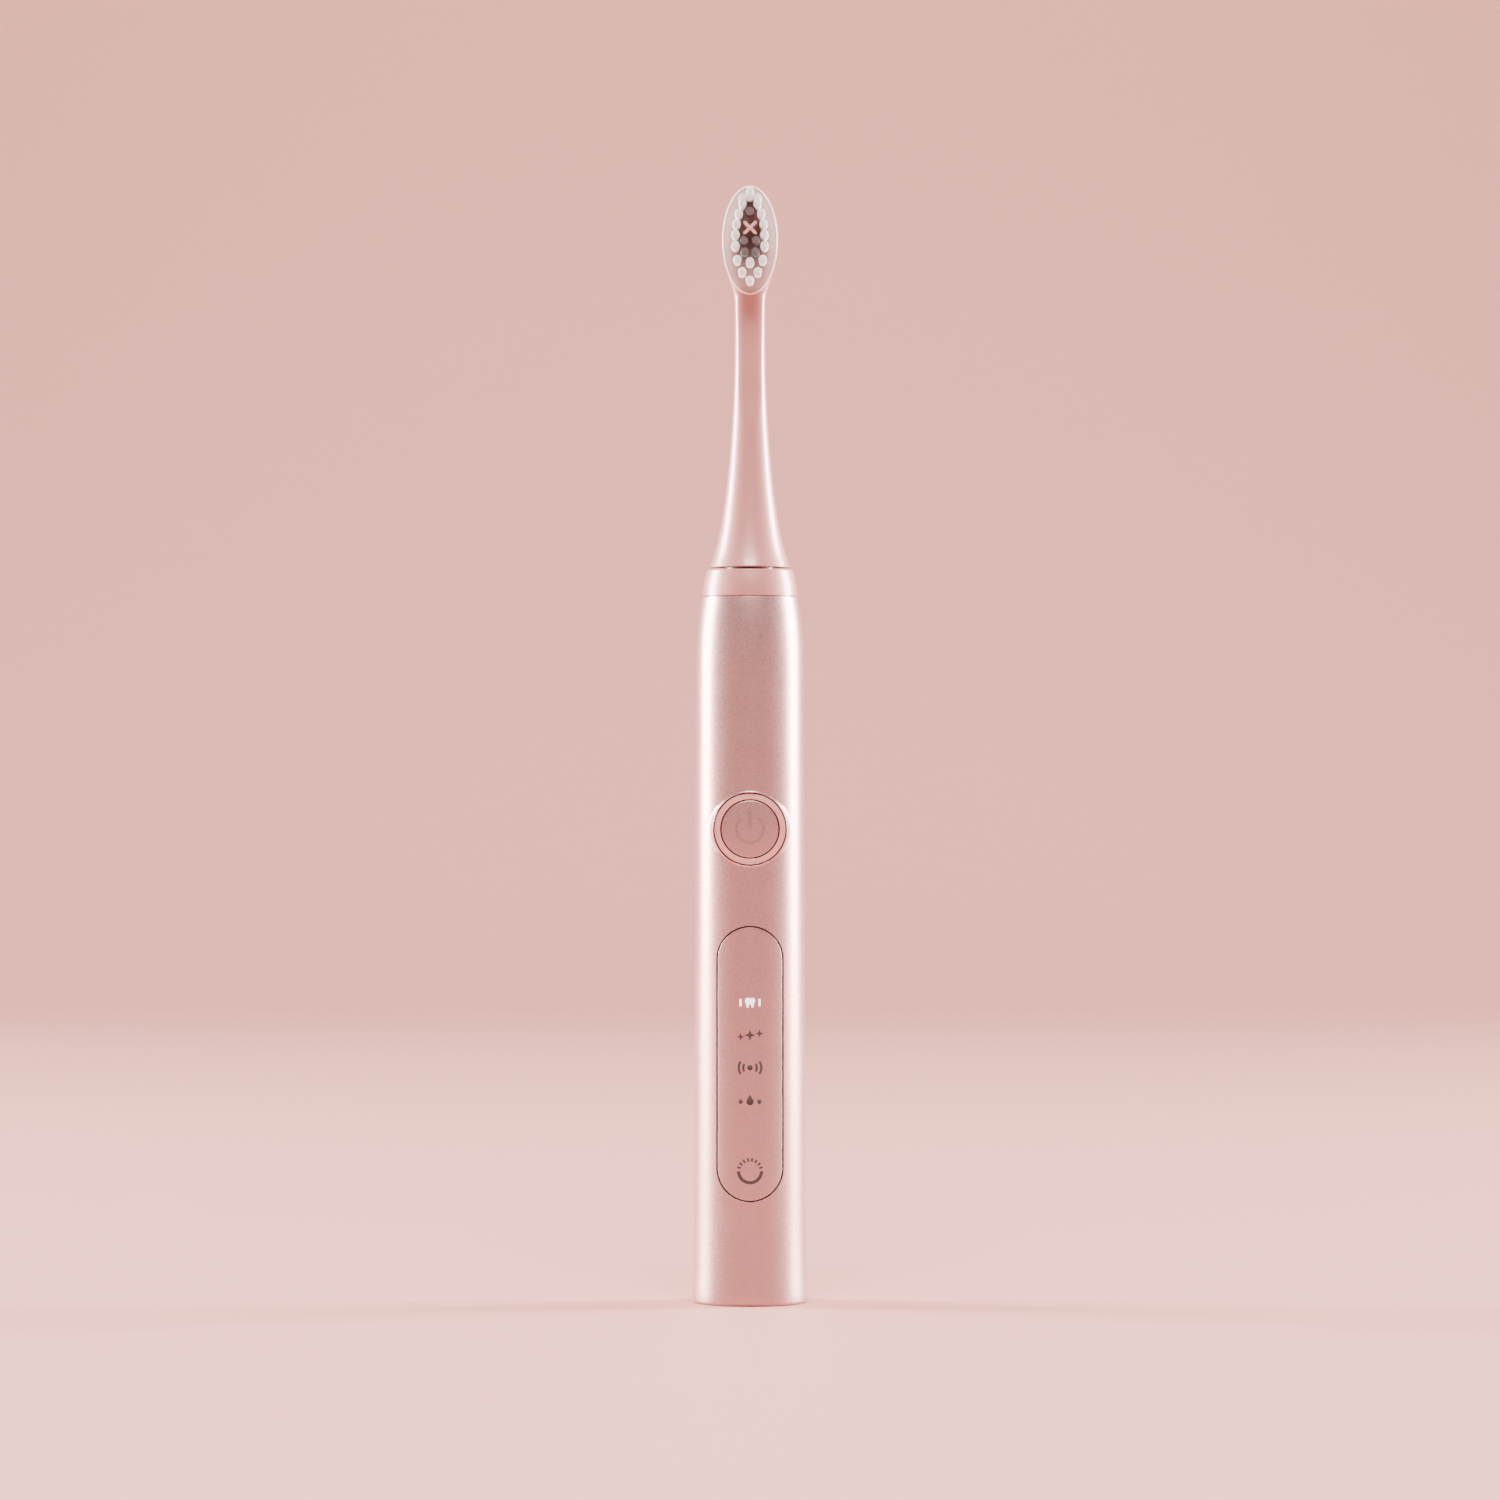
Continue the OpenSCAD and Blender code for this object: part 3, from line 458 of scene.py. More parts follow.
def handleRadius(z):
    # a short flare at the foot, a straight taper, then a shoulder that falls away as a power
    flare = 1 - np.clip(1 - z / handle["flareHeight"], 0, 1) ** handle["flarePower"]
    fall = np.clip(z - handle["height"] + handle["shoulder"], 0, None) / handle["shoulder"]
    straight = handle["baseRadius"] - handle["taper"] * z / handle["height"]
    return straight - handle["footFlare"] * flare - handle["shoulderDrop"] * fall ** handle["shoulderPower"]


landY = handleRadius(boss["height"]) - boss["land"]


def handlePoint(turn, z, inset=0.0, plain=False):
    # turn 0 faces the front; the boss is a soft union of the tube with a flat-topped round hill
    radius = handleRadius(z) - inset
    x, depth = radius * np.sin(turn), radius * np.cos(turn)
    if not plain:
        away = np.hypot(x, z - boss["height"])
        hill = landY - boss["fall"] * np.clip(away - boss["radius"], 0, None) ** 2
        near = (away < boss["reach"]) & (depth > 0)
        depth = np.where(near, softMax(depth, hill, boss["merge"]), depth)
    return np.stack([x, -depth, z + 0 * x], -1)


holes = [  # each rectangle of the grid gives way to spokes that run in to a hole's outline
    dict(z=panel["height"], radius=panel["width"] / 2, straight=panel["length"] - panel["width"], reach=50,
         room=10.6, edge=panel["edge"], step=None, rows=52),
    dict(z=boss["height"], radius=bezel["radius"] + bezel["gap"], straight=0.0, reach=82, room=13.6,
         edge=0.12, step=(bezel["seat"], bezel["radius"] - bezel["sleeve"]), rows=30),
]
for hole in holes:
    hole["low"] = hole["z"] - hole["straight"] / 2 - hole["room"]
    hole["high"] = hole["z"] + hole["straight"] / 2 + hole["room"]


def spokeEnds(hole, columns, rows):
    # walks round the rectangle: bottom, right, top, left; gives each end's turn and height
    across = columns[np.abs(columns) <= math.radians(hole["reach"]) + 1e-9]
    up = rows[(rows >= hole["low"] - 1e-9) & (rows <= hole["high"] + 1e-9)]
    turns = np.concatenate([across[:-1], np.full(len(up) - 1, across[-1]), across[:0:-1],
                            np.full(len(up) - 1, across[0])])
    heights = np.concatenate([np.full(len(across) - 1, up[0]), up[:-1],
                              np.full(len(across) - 1, up[-1]), up[:0:-1]])
    return turns, heights


def holeSpokes(hole, turns, heights, radius):
    # a spoke's foot on the hole's outline, seen from the front, and its direction
    middle = np.clip(heights, hole["z"] - hole["straight"] / 2, hole["z"] + hole["straight"] / 2)
    run = np.stack([turns * radius, heights - middle], -1)
    run /= np.linalg.norm(run, axis=1)[:, None]
    return middle, run


def patch(hole, columns, rows, inner):
    # rings of points from the hole's rounded edge out to its rectangle, blended along the spokes
    turns, heights = spokeEnds(hole, columns, rows)
    middle, run = holeSpokes(hole, turns, heights, handle["baseRadius"])
    wall = handle["wall"] if inner else 0.0

    def at(grow):  # turn and height of the outline when it is grown outwards
        x, z = run[:, 0] * (hole["radius"] + grow), middle + run[:, 1] * (hole["radius"] + grow)
        return np.arcsin(np.clip(x / (handleRadius(z) - wall), -1, 1)), z

    def sunk(grow, depth):  # a point below the outline
        points = handlePoint(*at(grow), wall, inner)
        points[:, 1] += depth
        return points

    layers = []
    shrink = hole["step"][1] if hole["step"] else 0.0
    if not inner:
        edge = hole["edge"]
        if hole["step"]:
            layers += [sunk(-shrink, hole["step"][0]), sunk(0, hole["step"][0])]
        layers += [sunk(0, edge * 1.6)]
        layers += [sunk(edge * (1 - math.cos(a)), edge * (1 - math.sin(a)))
                   for a in np.linspace(0, math.pi / 2, 6)]
        startTurn, startZ = at(edge * 1.15)
    else:
        startTurn, startZ = at(-shrink)
    steps, crowd = (6, 1.0) if inner else (26, 1.5)
    for share in spaced(0, 1, steps, crowd):
        turn, z = startTurn + (turns - startTurn) * share, startZ + (heights - startZ) * share
        layers.append(handlePoint(turn, z, wall, inner))
    return np.array(layers)


def handleShell():
    # a grid of turns by heights, once outside and once at the inner wall, with a patch round every hole
    reaches = np.radians([hole["reach"] for hole in holes])
    side = np.concatenate([np.linspace(0, reaches[0], 17), np.linspace(reaches[0], reaches[1], 13)[1:]])
    back = np.linspace(reaches[1], 2 * math.pi - reaches[1], 50)[1:-1]
    front = np.concatenate([-side[:0:-1], side])
    columns = np.concatenate([front, back])
    low = handle["footRound"]
    marks = [low]
    for hole in holes:
        marks += [hole["low"], hole["high"]]
    shoulderFoot = handle["height"] - handle["shoulder"]
    top = handle["height"] - handle["topRound"]
    marks += [shoulderFoot, top]
    counts = [12, holes[0]["rows"], 3, holes[1]["rows"], 10, 24]
    spans = [np.linspace(a, b, n + 1)[:-1] for a, b, n in zip(marks, marks[1:], counts)]
    rows = np.concatenate(spans + [[top]])

    footArc, topArc = np.linspace(0, math.pi / 2, 7), np.linspace(0, math.pi / 2, 5)
    wall = handle["wall"]
    parts = []
    n = len(columns)
    for inner in (False, True):
        points = handlePoint(columns[None, :], rows[:, None], wall if inner else 0.0, inner)
        quads = gridQuads(len(rows), n, True).reshape(len(rows) - 1, n, 4)
        keep = np.ones(quads.shape[:2], bool)
        for hole in holes:
            within = np.abs((columns + columns[(np.arange(n) + 1) % n]) / 2) < math.radians(hole["reach"])
            within[len(front) - 1:] = False
            middles = (rows[:-1] + rows[1:]) / 2
            tall = (middles > hole["low"]) & (middles < hole["high"])
            keep[np.ix_(tall, within)] = False
        parts.append((points.reshape(-1, 3), quads[keep]))
        if inner:
            continue
        # rounded foot and top edge, each ending on the inner wall
        ring = np.stack([np.sin(columns), -np.cos(columns)], -1)
        footRadius = handleRadius(low) - low + low * np.cos(footArc)
        topRadius = handleRadius(top) - handle["topRound"] * (1 - np.cos(topArc))
        foot = [(r, low - low * s) for r, s in zip(footRadius, np.sin(footArc))]
        foot += [(handleRadius(0.0) - wall, 0.0), (handleRadius(low) - wall, low)]
        crest = [(r, top + handle["topRound"] * s) for r, s in zip(topRadius, np.sin(topArc))]
        crest += [(handleRadius(top) - wall, handle["height"]), (handleRadius(top) - wall, top)]
        for rim in (foot, crest):
            parts.append(ringGrid([np.column_stack([ring * r, np.full(n, z)]) for r, z in rim]))
    for hole in holes:
        outer, inside = patch(hole, columns, rows, False), patch(hole, columns, rows, True)
        parts += [ringGrid(outer), ringGrid(inside), ringGrid([outer[0], inside[0]])]
    return facing(parts)


makePiece("handleShell", [handleShell()], "rose_lacquer", "handle", ("handle_shell",), 40)
print("handle shell made")

grooveHalf = 0.72  # half the width of the grooves that hold the O-rings
nose = dict(bottom=148.0, foot=157.3, top=163.4, step=0.08, draft=0.95, power=1.6, round=0.3, spigot=8.97,
            spigotWall=1.1, groove=154.0, grooveDepth=1.25, bossRadius=5.7, bossTop=166.8, throat=3.0,
            seal=4.95, sealTop=161.15)


def noseCollar():
    # turned profile whose side leans in by a power of the height, over a spigot with a seal groove
    radius = handleRadius(handle["height"]) - nose["step"]
    bottom, foot, top = nose["bottom"], nose["foot"], nose["top"]
    share = np.linspace(0, 1, 12)
    side = np.column_stack([radius - nose["draft"] * share ** nose["power"],
                            foot + share * (top - nose["round"] - foot)])
    parting = np.array([[radius - 0.4, foot + 0.02], [radius - 0.4, foot + 0.2], [radius - 0.1, foot + 0.21]])
    side[0] = radius - 0.01, foot + 0.28
    turn = np.linspace(0.3, math.pi / 2, 7)
    crest = np.column_stack([radius - nose["draft"] - nose["round"] + nose["round"] * np.cos(turn),
                             top - nose["round"] + nose["round"] * np.sin(turn)])
    spigot, floor = nose["spigot"], nose["spigot"] - nose["grooveDepth"]
    bore, low, high = spigot - nose["spigotWall"], nose["groove"] - grooveHalf, nose["groove"] + grooveHalf
    outerBoss, bossTop, throat, seal = nose["bossRadius"], nose["bossTop"], nose["throat"], nose["seal"]
    inside = rounded([
        (outerBoss, top, 0.25), (outerBoss - 0.1, bossTop - 0.5, 0.2), (outerBoss - 0.9, bossTop, 0.2),
        (throat, bossTop, 0.15), (throat, nose["sealTop"], 0.05), (seal, nose["sealTop"], 0.05),
        (seal, bottom + 5, 0.05), (bore, bottom + 4, 0.1), (bore, bottom, 0.15), (spigot, bottom, 0.2),
        (spigot, low, 0.05), (floor, low, 0.05), (floor, high, 0.05), (spigot, high, 0.05),
        (spigot, foot, 0)], 4, False)
    return lathe(np.concatenate([parting, side, crest, inside]), 160)


def buttonBezel():
    # ring whose face falls outwards like a cone, with a sleeve behind it
    face, inner, outer = landY + bezel["proud"], bezel["inner"], bezel["radius"]
    back, sleeve, end = landY - bezel["seat"] + 0.05, bezel["sleeve"] - 0.03, landY - bezel["depth"]
    outline = rounded([(inner, face + bezel["lip"], 0.14), (outer, face - bezel["drop"], 0.16),
                       (outer, back, 0.05), (sleeve, back, 0.05), (sleeve, end, 0.1), (inner, end, 0.1)], 6)
    return lathe(outline, 128, True, "y", boss["height"])


button = dict(radius=6.35, proud=0.15, crown=0.12, edge=0.22, thick=1.35, stem=1.6, plunger=2.68)


def powerButton():
    # cap with a shallow crown: the face falls with the square of the radius
    face, edge = landY + button["proud"], button["radius"] - button["edge"]
    back, end = face - button["thick"], landY - button["plunger"]
    share = np.linspace(0, 1, 14)
    crown = np.column_stack([edge * share, face - button["crown"] * share ** 2])
    turn = np.linspace(math.pi / 2, 0, 7)[1:]
    lip = np.column_stack([edge + button["edge"] * np.cos(turn),
                           face - button["crown"] - button["edge"] * (1 - np.sin(turn))])
    under = rounded([(button["radius"], back + 0.3, 0), (button["radius"], back, 0.15),
                     (button["stem"], back, 0.2), (button["stem"], end, 0.15), (0, end, 0)], 4, False)
    return lathe(np.concatenate([crown, lip, under]), 128, False, "y", boss["height"])


cap = dict(top=10.0, inset=1.7, wall=1.25, foot=1.6, socket=4.6, depth=9.0, socketWall=1.0, groove=6.0,
           grooveDepth=1.3)


def bottomCap():
    # turned cup with the charging socket rising in its middle
    outer, outerTop = handleRadius(0.0) - cap["inset"], handleRadius(cap["top"]) - cap["inset"]
    low, high, floor = cap["groove"] - grooveHalf, cap["groove"] + grooveHalf, outerTop - cap["grooveDepth"]
    bore, socket, depth, foot = outerTop - cap["wall"], cap["socket"], cap["depth"], cap["foot"]
    post, roof = socket + cap["socketWall"], depth + cap["socketWall"]
    return lathe(rounded([
        (0, depth, 0), (socket, depth, 0.3), (socket, 0, 0.4), (outer, 0, 0.3), (outerTop, low, 0.05),
        (floor, low, 0.05), (floor, high, 0.05), (outerTop, high, 0.05), (outerTop, cap["top"], 0.2),
        (bore, cap["top"], 0.2), (bore, foot, 0.4), (post, foot, 0.4), (post, roof, 0.4),
        (0, roof, 0)], 5, False), 128, False)


def pillRing(radius, depth):
    # pill outline of a radius, seen from the front and laid on the handle's surface at a depth
    straight = panel["length"] - panel["width"]
    arcLength = math.pi * (panel["width"] / 2)
    run = (np.arange(panel["around"]) + 0.5) / panel["around"] * 2 * (arcLength + straight)
    half = run % (arcLength + straight)
    side = np.where(run < arcLength + straight, 1, -1)  # +1 up the right side and over the top
    turn = np.clip(half - straight, 0, None) / arcLength * math.pi
    middle = side * (np.clip(half, 0, straight) - straight / 2)
    x, z = side * np.cos(turn) * radius, panel["height"] + middle + side * np.sin(turn) * radius
    around = handleRadius(z) - depth
    return np.column_stack([x, -np.sqrt(np.clip(around ** 2 - x ** 2, 0, None)), z])


def controlPanel():
    # pill rings grown from the centre line to the rim, down the wall, round the flange and back
    rim, edge = panel["width"] / 2 - panel["seam"], panel["edge"]
    flange, depth = panel["width"] / 2 + panel["flange"], handle["wall"] + 0.1
    back = depth + panel["thick"]
    layers = [(rim * s, 0.0) for s in np.linspace(0, 1 - edge / rim, 14)]
    layers += [(rim - edge * (1 - math.sin(a)), edge * (1 - math.cos(a)))
               for a in np.linspace(0.2, math.pi / 2, 6)]
    layers += [(rim, depth - 0.05), (rim, depth), (flange - 0.1, depth), (flange, depth + 0.1)]
    layers += [(flange, back - 0.1), (flange - 0.1, back)]
    layers += [((flange - 0.1) * s, back) for s in np.linspace(1, 0, 8)[1:]]
    return ringGrid([pillRing(*layer) for layer in layers])


overlap = 0.03  # how far a seam's dark fill, painted shade in the gap, reaches into a piece, and how far it stays off the button


def seamShadowBand():
    # a near-black band in the seam between panel and shell, a little below their surfaces: painted shade in
    # the gap
    inner, outer = panel["width"] / 2 - panel["seam"] - overlap, panel["width"] / 2 + overlap
    layers = [(inner, 0.07), ((inner + outer) / 2, 0.04), (outer, 0.07), (outer, 1.2), (inner, 1.2),
              (inner, 0.07)]
    return ringGrid([pillRing(*layer) for layer in layers])


def shadowBandRing(inner, outer, front, back):
    # a round band with a crowned front edge, about the button's axis, that fills a gap with painted shade
    outline = np.array([(inner, front - 0.03), ((inner + outer) / 2, front), (outer, front - 0.03),
                        (outer, back), (inner, back)])
    return lathe(outline, 128, True, "y", boss["height"])


def raisedMark(node, name, slot, lift=0.014):
    # a merged copy of the CAD mark, pushed straight out from the handle's axis
    work = bmesh.new()
    work.from_mesh(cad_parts[node].data)
    bmesh.ops.remove_doubles(work, verts=work.verts, dist=1e-7)
    mesh = bpy.data.meshes.new(name)
    work.to_mesh(mesh)
    work.free()
    flat = np.empty(len(mesh.vertices) * 3)
    mesh.vertices.foreach_get("co", flat)
    points = flat.reshape(-1, 3)
    points[:, :2] *= 1 + lift * mm / np.hypot(points[:, 0], points[:, 1])[:, None]
    mesh.vertices.foreach_set("co", points.ravel())
    mesh.materials.clear()
    mesh.materials.append(looks[slot])
    mark = newObject(name, mesh)
    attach(mark, "handle")
    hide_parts(node)


makePiece("noseCollar", [noseCollar()], "rose_gloss", "handle", ("nose_collar",))
makePiece("buttonBezel", [buttonBezel()], "bezel_rose", "handle", ("button_bezel",))
makePiece("powerButton", [powerButton()], "buttonLacquer", "button", ("power_button",))
makePiece("bottomCap", [bottomCap()], "rose_gloss", "handle", ("bottom_cap",))
makePiece("controlPanel", [controlPanel()], "rose_lacquer", "handle", ("control_panel",))
# the seam's dark band is painted shade in the gap between panel and shell
makePiece("seamShadowBand", [seamShadowBand()], "seamShadowFill", "handle")
# near-black bands in the gaps round the bezel and the button: painted shade
makePiece("bezelShadowBand", [shadowBandRing(bezel["radius"] - overlap, bezel["radius"] + bezel["gap"] + overlap,
                                   landY - 0.03, landY - 0.65)], "seamShadowFill", "handle")
makePiece("buttonShadowBand", [shadowBandRing(button["radius"] + overlap, bezel["inner"] + overlap,
                                     landY - 0.3, landY - 1.0)], "seamShadowFill", "handle")
for k in range(1, 5):
    raisedMark("mode_icon_%d" % k, "modeMark%d" % k, "lit_icon" if k == 1 else "dim_icon")
raisedMark("gauge_icon", "gaugeMark", "dim_icon")
print("handle's pieces made")

# the brush head: a trumpet neck that runs into a flat oval head
neck = dict(foot=163.9, slim=3.42, flareLength=52.0, flareWide=3.95, footWide=1.65, footFall=6.5, wall=1.5,
            cavity=3.0, cavityRise=10.0, cavityTop=186.3, thinStart=204.6, thinAngle=2.8, clear=30.0,
            swing=25.0, blend=2.6, frontBlend=0.2)
head = dict(middle=236.7, a=6.2, b=12.1, front=2.3, back=1.7, frontRound=0.3, backRound=1.5)
rim = dict(front=3.1, width=0.36, root=1.0, crest=0.14)
plate = dict(front=2.75, back=0.65, a=5.74, b=11.64)


def neckRadius(z):
    # a flare that falls off as a square, and a small trumpet that falls off exponentially
    s = z - neck["foot"]
    flare = neck["flareWide"] * np.clip(1 - s / neck["flareLength"], 0, None) ** 2
    return neck["slim"] + flare + neck["footWide"] * np.exp(-s / neck["footFall"])


def roundedMeet(a, b, radius):
    # distance to where two solids meet, with the shared edge rounded
    a, b = a + radius, b + radius
    return np.hypot(np.clip(a, 0, None), np.clip(b, 0, None)) + np.minimum(np.maximum(a, b), 0) - radius


def brushForm(x, y, z):
    # below zero inside: the neck thinned by two leaning planes, softly joined to an oval plate
    above, lean = z - neck["thinStart"], math.tan(math.radians(neck["thinAngle"]))
    thin = neck["slim"] + 0.1 - np.clip(above, 0, None) * lean
    # further down the planes swing clear of the neck, so that its flare stays round
    share = ease((above + neck["swing"]) / neck["swing"]) ** 0.2
    thin = np.where(z < neck["thinStart"] - 0.01, neck["clear"] - (neck["clear"] - thin) * share, thin)
    stem = roundedMeet(np.hypot(x, y) - neckRadius(z), np.abs(y) - thin, 1.2)
    stem = roundedMeet(stem, z - head["middle"] + head["b"] - 5, 1.0)
    up = z - head["middle"]
    e = np.hypot(x / head["a"], up / head["b"])
    outline = e * (e - 1) / np.clip(np.hypot(x / head["a"] ** 2, up / head["b"] ** 2), 1e-9, None)
    level = np.maximum(-y - head["front"], y - head["back"])
    oval = roundedMeet(outline, level, np.where(y > 0, head["backRound"], head["frontRound"]))
    # the join is tight at the front, so that the neck doesn't rise through the bristle plate
    blend = neck["frontBlend"] + (neck["blend"] - neck["frontBlend"]) * ease((y + 2.4) / 1.6)
    return -softMax(-stem, -oval, blend)


def brushNeck(columns=112):
    # in every level section the form is met along rays from the axis, by halving
    turn = np.arange(columns) * 2 * math.pi / columns
    foot, footRadius, skirt = neck["foot"], neckRadius(neck["foot"]), neck["foot"] + 0.6
    inner = rounded([(0, neck["cavityTop"], 0), (neck["cavity"], neck["cavityTop"], 0.3),
                     (neck["cavity"], foot + neck["cavityRise"], 1.0), (footRadius - neck["wall"], foot, 0.2),
                     (footRadius - 0.03, foot, 0.2), (neckRadius(skirt), skirt, 0)], 6, False)
    below = np.stack([inner[:, :1] * np.sin(turn), -inner[:, :1] * np.cos(turn), inner[:, 1:] + 0 * turn], -1)
    # heights crowd towards the foot, are even past the head's lower end, then follow its oval
    low, top = head["middle"] - head["b"], head["middle"] + head["b"]
    rise = np.linspace(math.asin(-3.8 / head["b"]), math.pi / 2, 46)[:-1]
    z = np.concatenate([skirt + spaced(0, low - 4 - foot, 56, 1.35)[1:],
                        np.linspace(low - 3.4, low + 8, 40)[1:],
                        head["middle"] + head["b"] * np.sin(rise), [top - 0.003]])
    up = np.clip((z - head["middle"]) / head["b"], -1, 1)
    oval = head["a"] * np.sqrt(1 - up ** 2)
    wide = np.where(z < head["middle"], softMax(neckRadius(z), oval, 2.0), oval)[:, None]
    deep = (head["back"] + (neckRadius(z) - head["back"]) * ease((head["middle"] - z) / 28))[:, None]
    near, far = np.zeros((len(z), columns)), np.full((len(z), columns), 2.4)
    rayX, rayY = wide * np.sin(turn), -deep * np.cos(turn)
    for _ in range(34):
        half = (near + far) / 2
        inside = brushForm(rayX * half, rayY * half, z[:, None]) < 0
        near, far = np.where(inside, half, near), np.where(inside, far, half)
    above = np.stack([rayX * near, rayY * near, z[:, None] + 0 * near], -1)
    crown = above[-1] * np.array([0, 1, 1]) + np.array([0, 0, 0.003])
    return ringGrid(np.concatenate([below, above, crown[None]]))


def ovalPath(outset, front, count=176):
    # points offset squarely from the head's oval outline
    turn = np.arange(count) * 2 * math.pi / count
    across, along = np.cos(turn) / head["a"], np.sin(turn) / head["b"]
    size = np.hypot(across, along)
    return np.column_stack([head["a"] * np.cos(turn) + outset * across / size, np.full(count, -front),
                            head["middle"] + head["b"] * np.sin(turn) + outset * along / size])


def headRim():
    # a rounded lip carried round the oval
    outline = rounded([(0.012, rim["front"], rim["crest"]), (-rim["width"], rim["front"], rim["crest"]),
                       (-rim["width"], rim["root"], 0.1), (-0.03, rim["root"], 0.05)], 5)
    return ringGrid([ovalPath(outset, front) for outset, front in np.concatenate([outline, outline[:1]])])


def bristlePlate(count=176):
    # an oval disc of concentric rings, its edge rounded
    turn = np.arange(count) * 2 * math.pi / count
    front, back = plate["front"], plate["back"]
    outline = rounded([(1.0, back, 0), (1.0, front, 0.02), (0.0, front, 0)], 4, False)
    shares = [(0.0, back), (0.5, back)] + [tuple(p) for p in outline[:-1]]
    shares += [(s, front) for s in np.linspace(0.95, 0, 12)]
    return ringGrid([np.column_stack([plate["a"] * s * np.cos(turn), np.full(count, -y),
                                      head["middle"] + plate["b"] * s * np.sin(turn)]) for s, y in shares])


makePiece("brushNeck", [brushNeck()], "rose_gloss", "brush_head", ("brush_neck",))
# the head rim's pale finish is a painted highlight along the crest
makePiece("headRim", [headRim()], "rimPaintedHighlight", "brush_head")
makePiece("bristlePlate", [bristlePlate()], "plate_rose", "brush_head", ("bristle_plate",))
print("brush head made")

# across and along scale the rows' places; the other values are millimetres, but for splay
tuft = dict(across=5.6, along=11.5, radius=0.88, white=9.1, grey=8.0, filament=0.1, root=0.3, dome=0.5,
            splay=0.16, coreDrop=0.3, seed=7)
# each row is (x, height, stretch): shares of across and along, and millimetres of oblong stretch
whiteRows = [(0, 0.842, 1.3), (0.3, 0.7, 1.3), (0.447, 0.46, 0.25), (0.54, 0.262, 0.25),
             (0.575, 0.055, 0.25), (0.575, -0.16, 0.25), (0.505, -0.428, 0.2), (0.311, -0.662, 0.15),
             (0, -0.82, 0.1), (0, -0.475, 0.2)]
greyRows = [(0, 0.52, 0.1), (0.24, -0.055, 0.1), (0.226, -0.27, 0.1)]


def filaments(rows, length, seed):
    # sunflower spiral of places in every tuft; each filament is a six-sided tube with a domed tip
    chance = np.random.default_rng(seed)
    places, spreads, ends = [], [], []
    for x, height, stretch in rows:
        count = int(72 + 44 * stretch)
        k = np.arange(count) + 0.5
        spiral = np.sqrt(k / count) * (tuft["radius"] - tuft["filament"])
        turn = k * math.pi * (3 - math.sqrt(5))
        across, up = spiral * np.cos(turn), spiral * np.sin(turn)
        up = up + np.sign(up) * stretch / 2 * np.abs(up / tuft["radius"]) ** 0.5
        share = spiral / tuft["radius"]
        for side in ([1, -1] if x else [1]):
            jitter = chance.normal(0, 0.03, (count, 2))
            places.append(np.column_stack([side * (x * tuft["across"] + across),
                                           height * tuft["along"] + up]))
            spreads.append(np.column_stack([side * across, up]) * tuft["splay"] + jitter)
            ends.append(length - tuft["dome"] * share ** 2 + chance.normal(0, 0.035, count))
    place, spread, end = np.concatenate(places), np.concatenate(spreads), np.concatenate(ends)
    end = np.minimum(end, length)
    # along the filament: share of the length, and radius share
    along = np.array([[0, 0.0], [0, 1.0], [0.4, 1.0], [0.75, 1.0], [0.988, 0.96], [0.997, 0.6], [1.0, 0.0]])
    corner = np.arange(6) * math.pi / 3
    t, size = along[:, 0][None, :, None], (along[:, 1] * tuft["filament"])[None, :, None]
    bend = t ** 2
    x = place[:, 0, None, None] + spread[:, 0, None, None] * bend + size * np.cos(corner)
    z = place[:, 1, None, None] + spread[:, 1, None, None] * bend + size * np.sin(corner)
    y = plate["front"] - tuft["root"] + (end[:, None, None] + tuft["root"]) * t + 0 * corner
    points = np.stack([x, -y, z + head["middle"]], -1)
    many, levels = points.shape[:2]
    return points.reshape(-1, 3), repeated(gridQuads(levels, 6, True), many, levels * 6)


def tuftCores(rows, length, sides=20):
    # the middle of every tuft: a tube whose top is a dome just below the filaments' tips
    turn = np.arange(sides) * 2 * math.pi / sides
    share = np.concatenate([[0, 1, 1], np.cos(np.linspace(0, math.pi / 2, 9))])
    depth = length - tuft["coreDrop"] - tuft["dome"] * share ** 2
    depth[:2] = 0
    root = tuft["root"] * (depth[:, None] > 0)
    points = []
    for x, height, stretch in rows:
        for side in ([1, -1] if x else [1]):
            wide = tuft["radius"] * (0.86 + tuft["splay"] * (depth / length) ** 2)[:, None]
            across = side * x * tuft["across"] + share[:, None] * wide * np.cos(turn)
            up = share[:, None] * (wide * np.sin(turn) + stretch / 2 * np.sign(np.sin(turn)))
            y = plate["front"] - tuft["root"] + (depth[:, None] + root) + 0 * turn
            points.append(np.stack([across, -y, head["middle"] + (height * tuft["along"] + up)], -1))
    points = np.array(points)
    quads = repeated(gridQuads(len(share), sides, True), len(points), len(share) * sides)
    return points.reshape(-1, 3), quads


polisher = dict(middle=239.0, reach=2.05, width=0.75, length=6.8, edge=0.2)


def polisherCross(count=160):
    # four round-ended arms at 45 degrees, met along rays from the middle
    turn = np.arange(count) * 2 * math.pi / count
    lean = np.abs(turn % (math.pi / 2) - math.pi / 4)
    half, reach = polisher["width"] / 2, polisher["reach"] - polisher["width"] / 2
    tip = reach * np.cos(lean) + np.sqrt(np.clip(half ** 2 - (reach * np.sin(lean)) ** 2, 0, None))
    outline = np.where(np.tan(lean) < half / reach, tip, half / np.clip(np.sin(lean), 1e-6, None))
    root, front, edge = plate["front"] - 1.5, plate["front"] + polisher["length"], polisher["edge"]
    arc = np.linspace(0, math.pi / 2, 6)
    # share of the outline, how far it is drawn in, and the place from back to front
    levels = [(0.0, 0.0, root), (1.0, 0.0, root), (1.0, 0.06, front - edge - 2.5)]
    levels += [(1.0, 0.06 + edge * (1 - math.cos(a)), front - edge * (1 - math.sin(a))) for a in arc]
    levels += [(0.5, 0.06 + edge * 0.5, front + 0.02), (0.0, 0.0, front + 0.03)]
    rings = []
    for s, inset, y in levels:
        size = np.clip(outline * s - inset, 0, None)
        rings.append(np.column_stack([size * np.cos(turn), np.full(count, -y),
                                      polisher["middle"] + size * np.sin(turn)]))
    return ringGrid(rings)


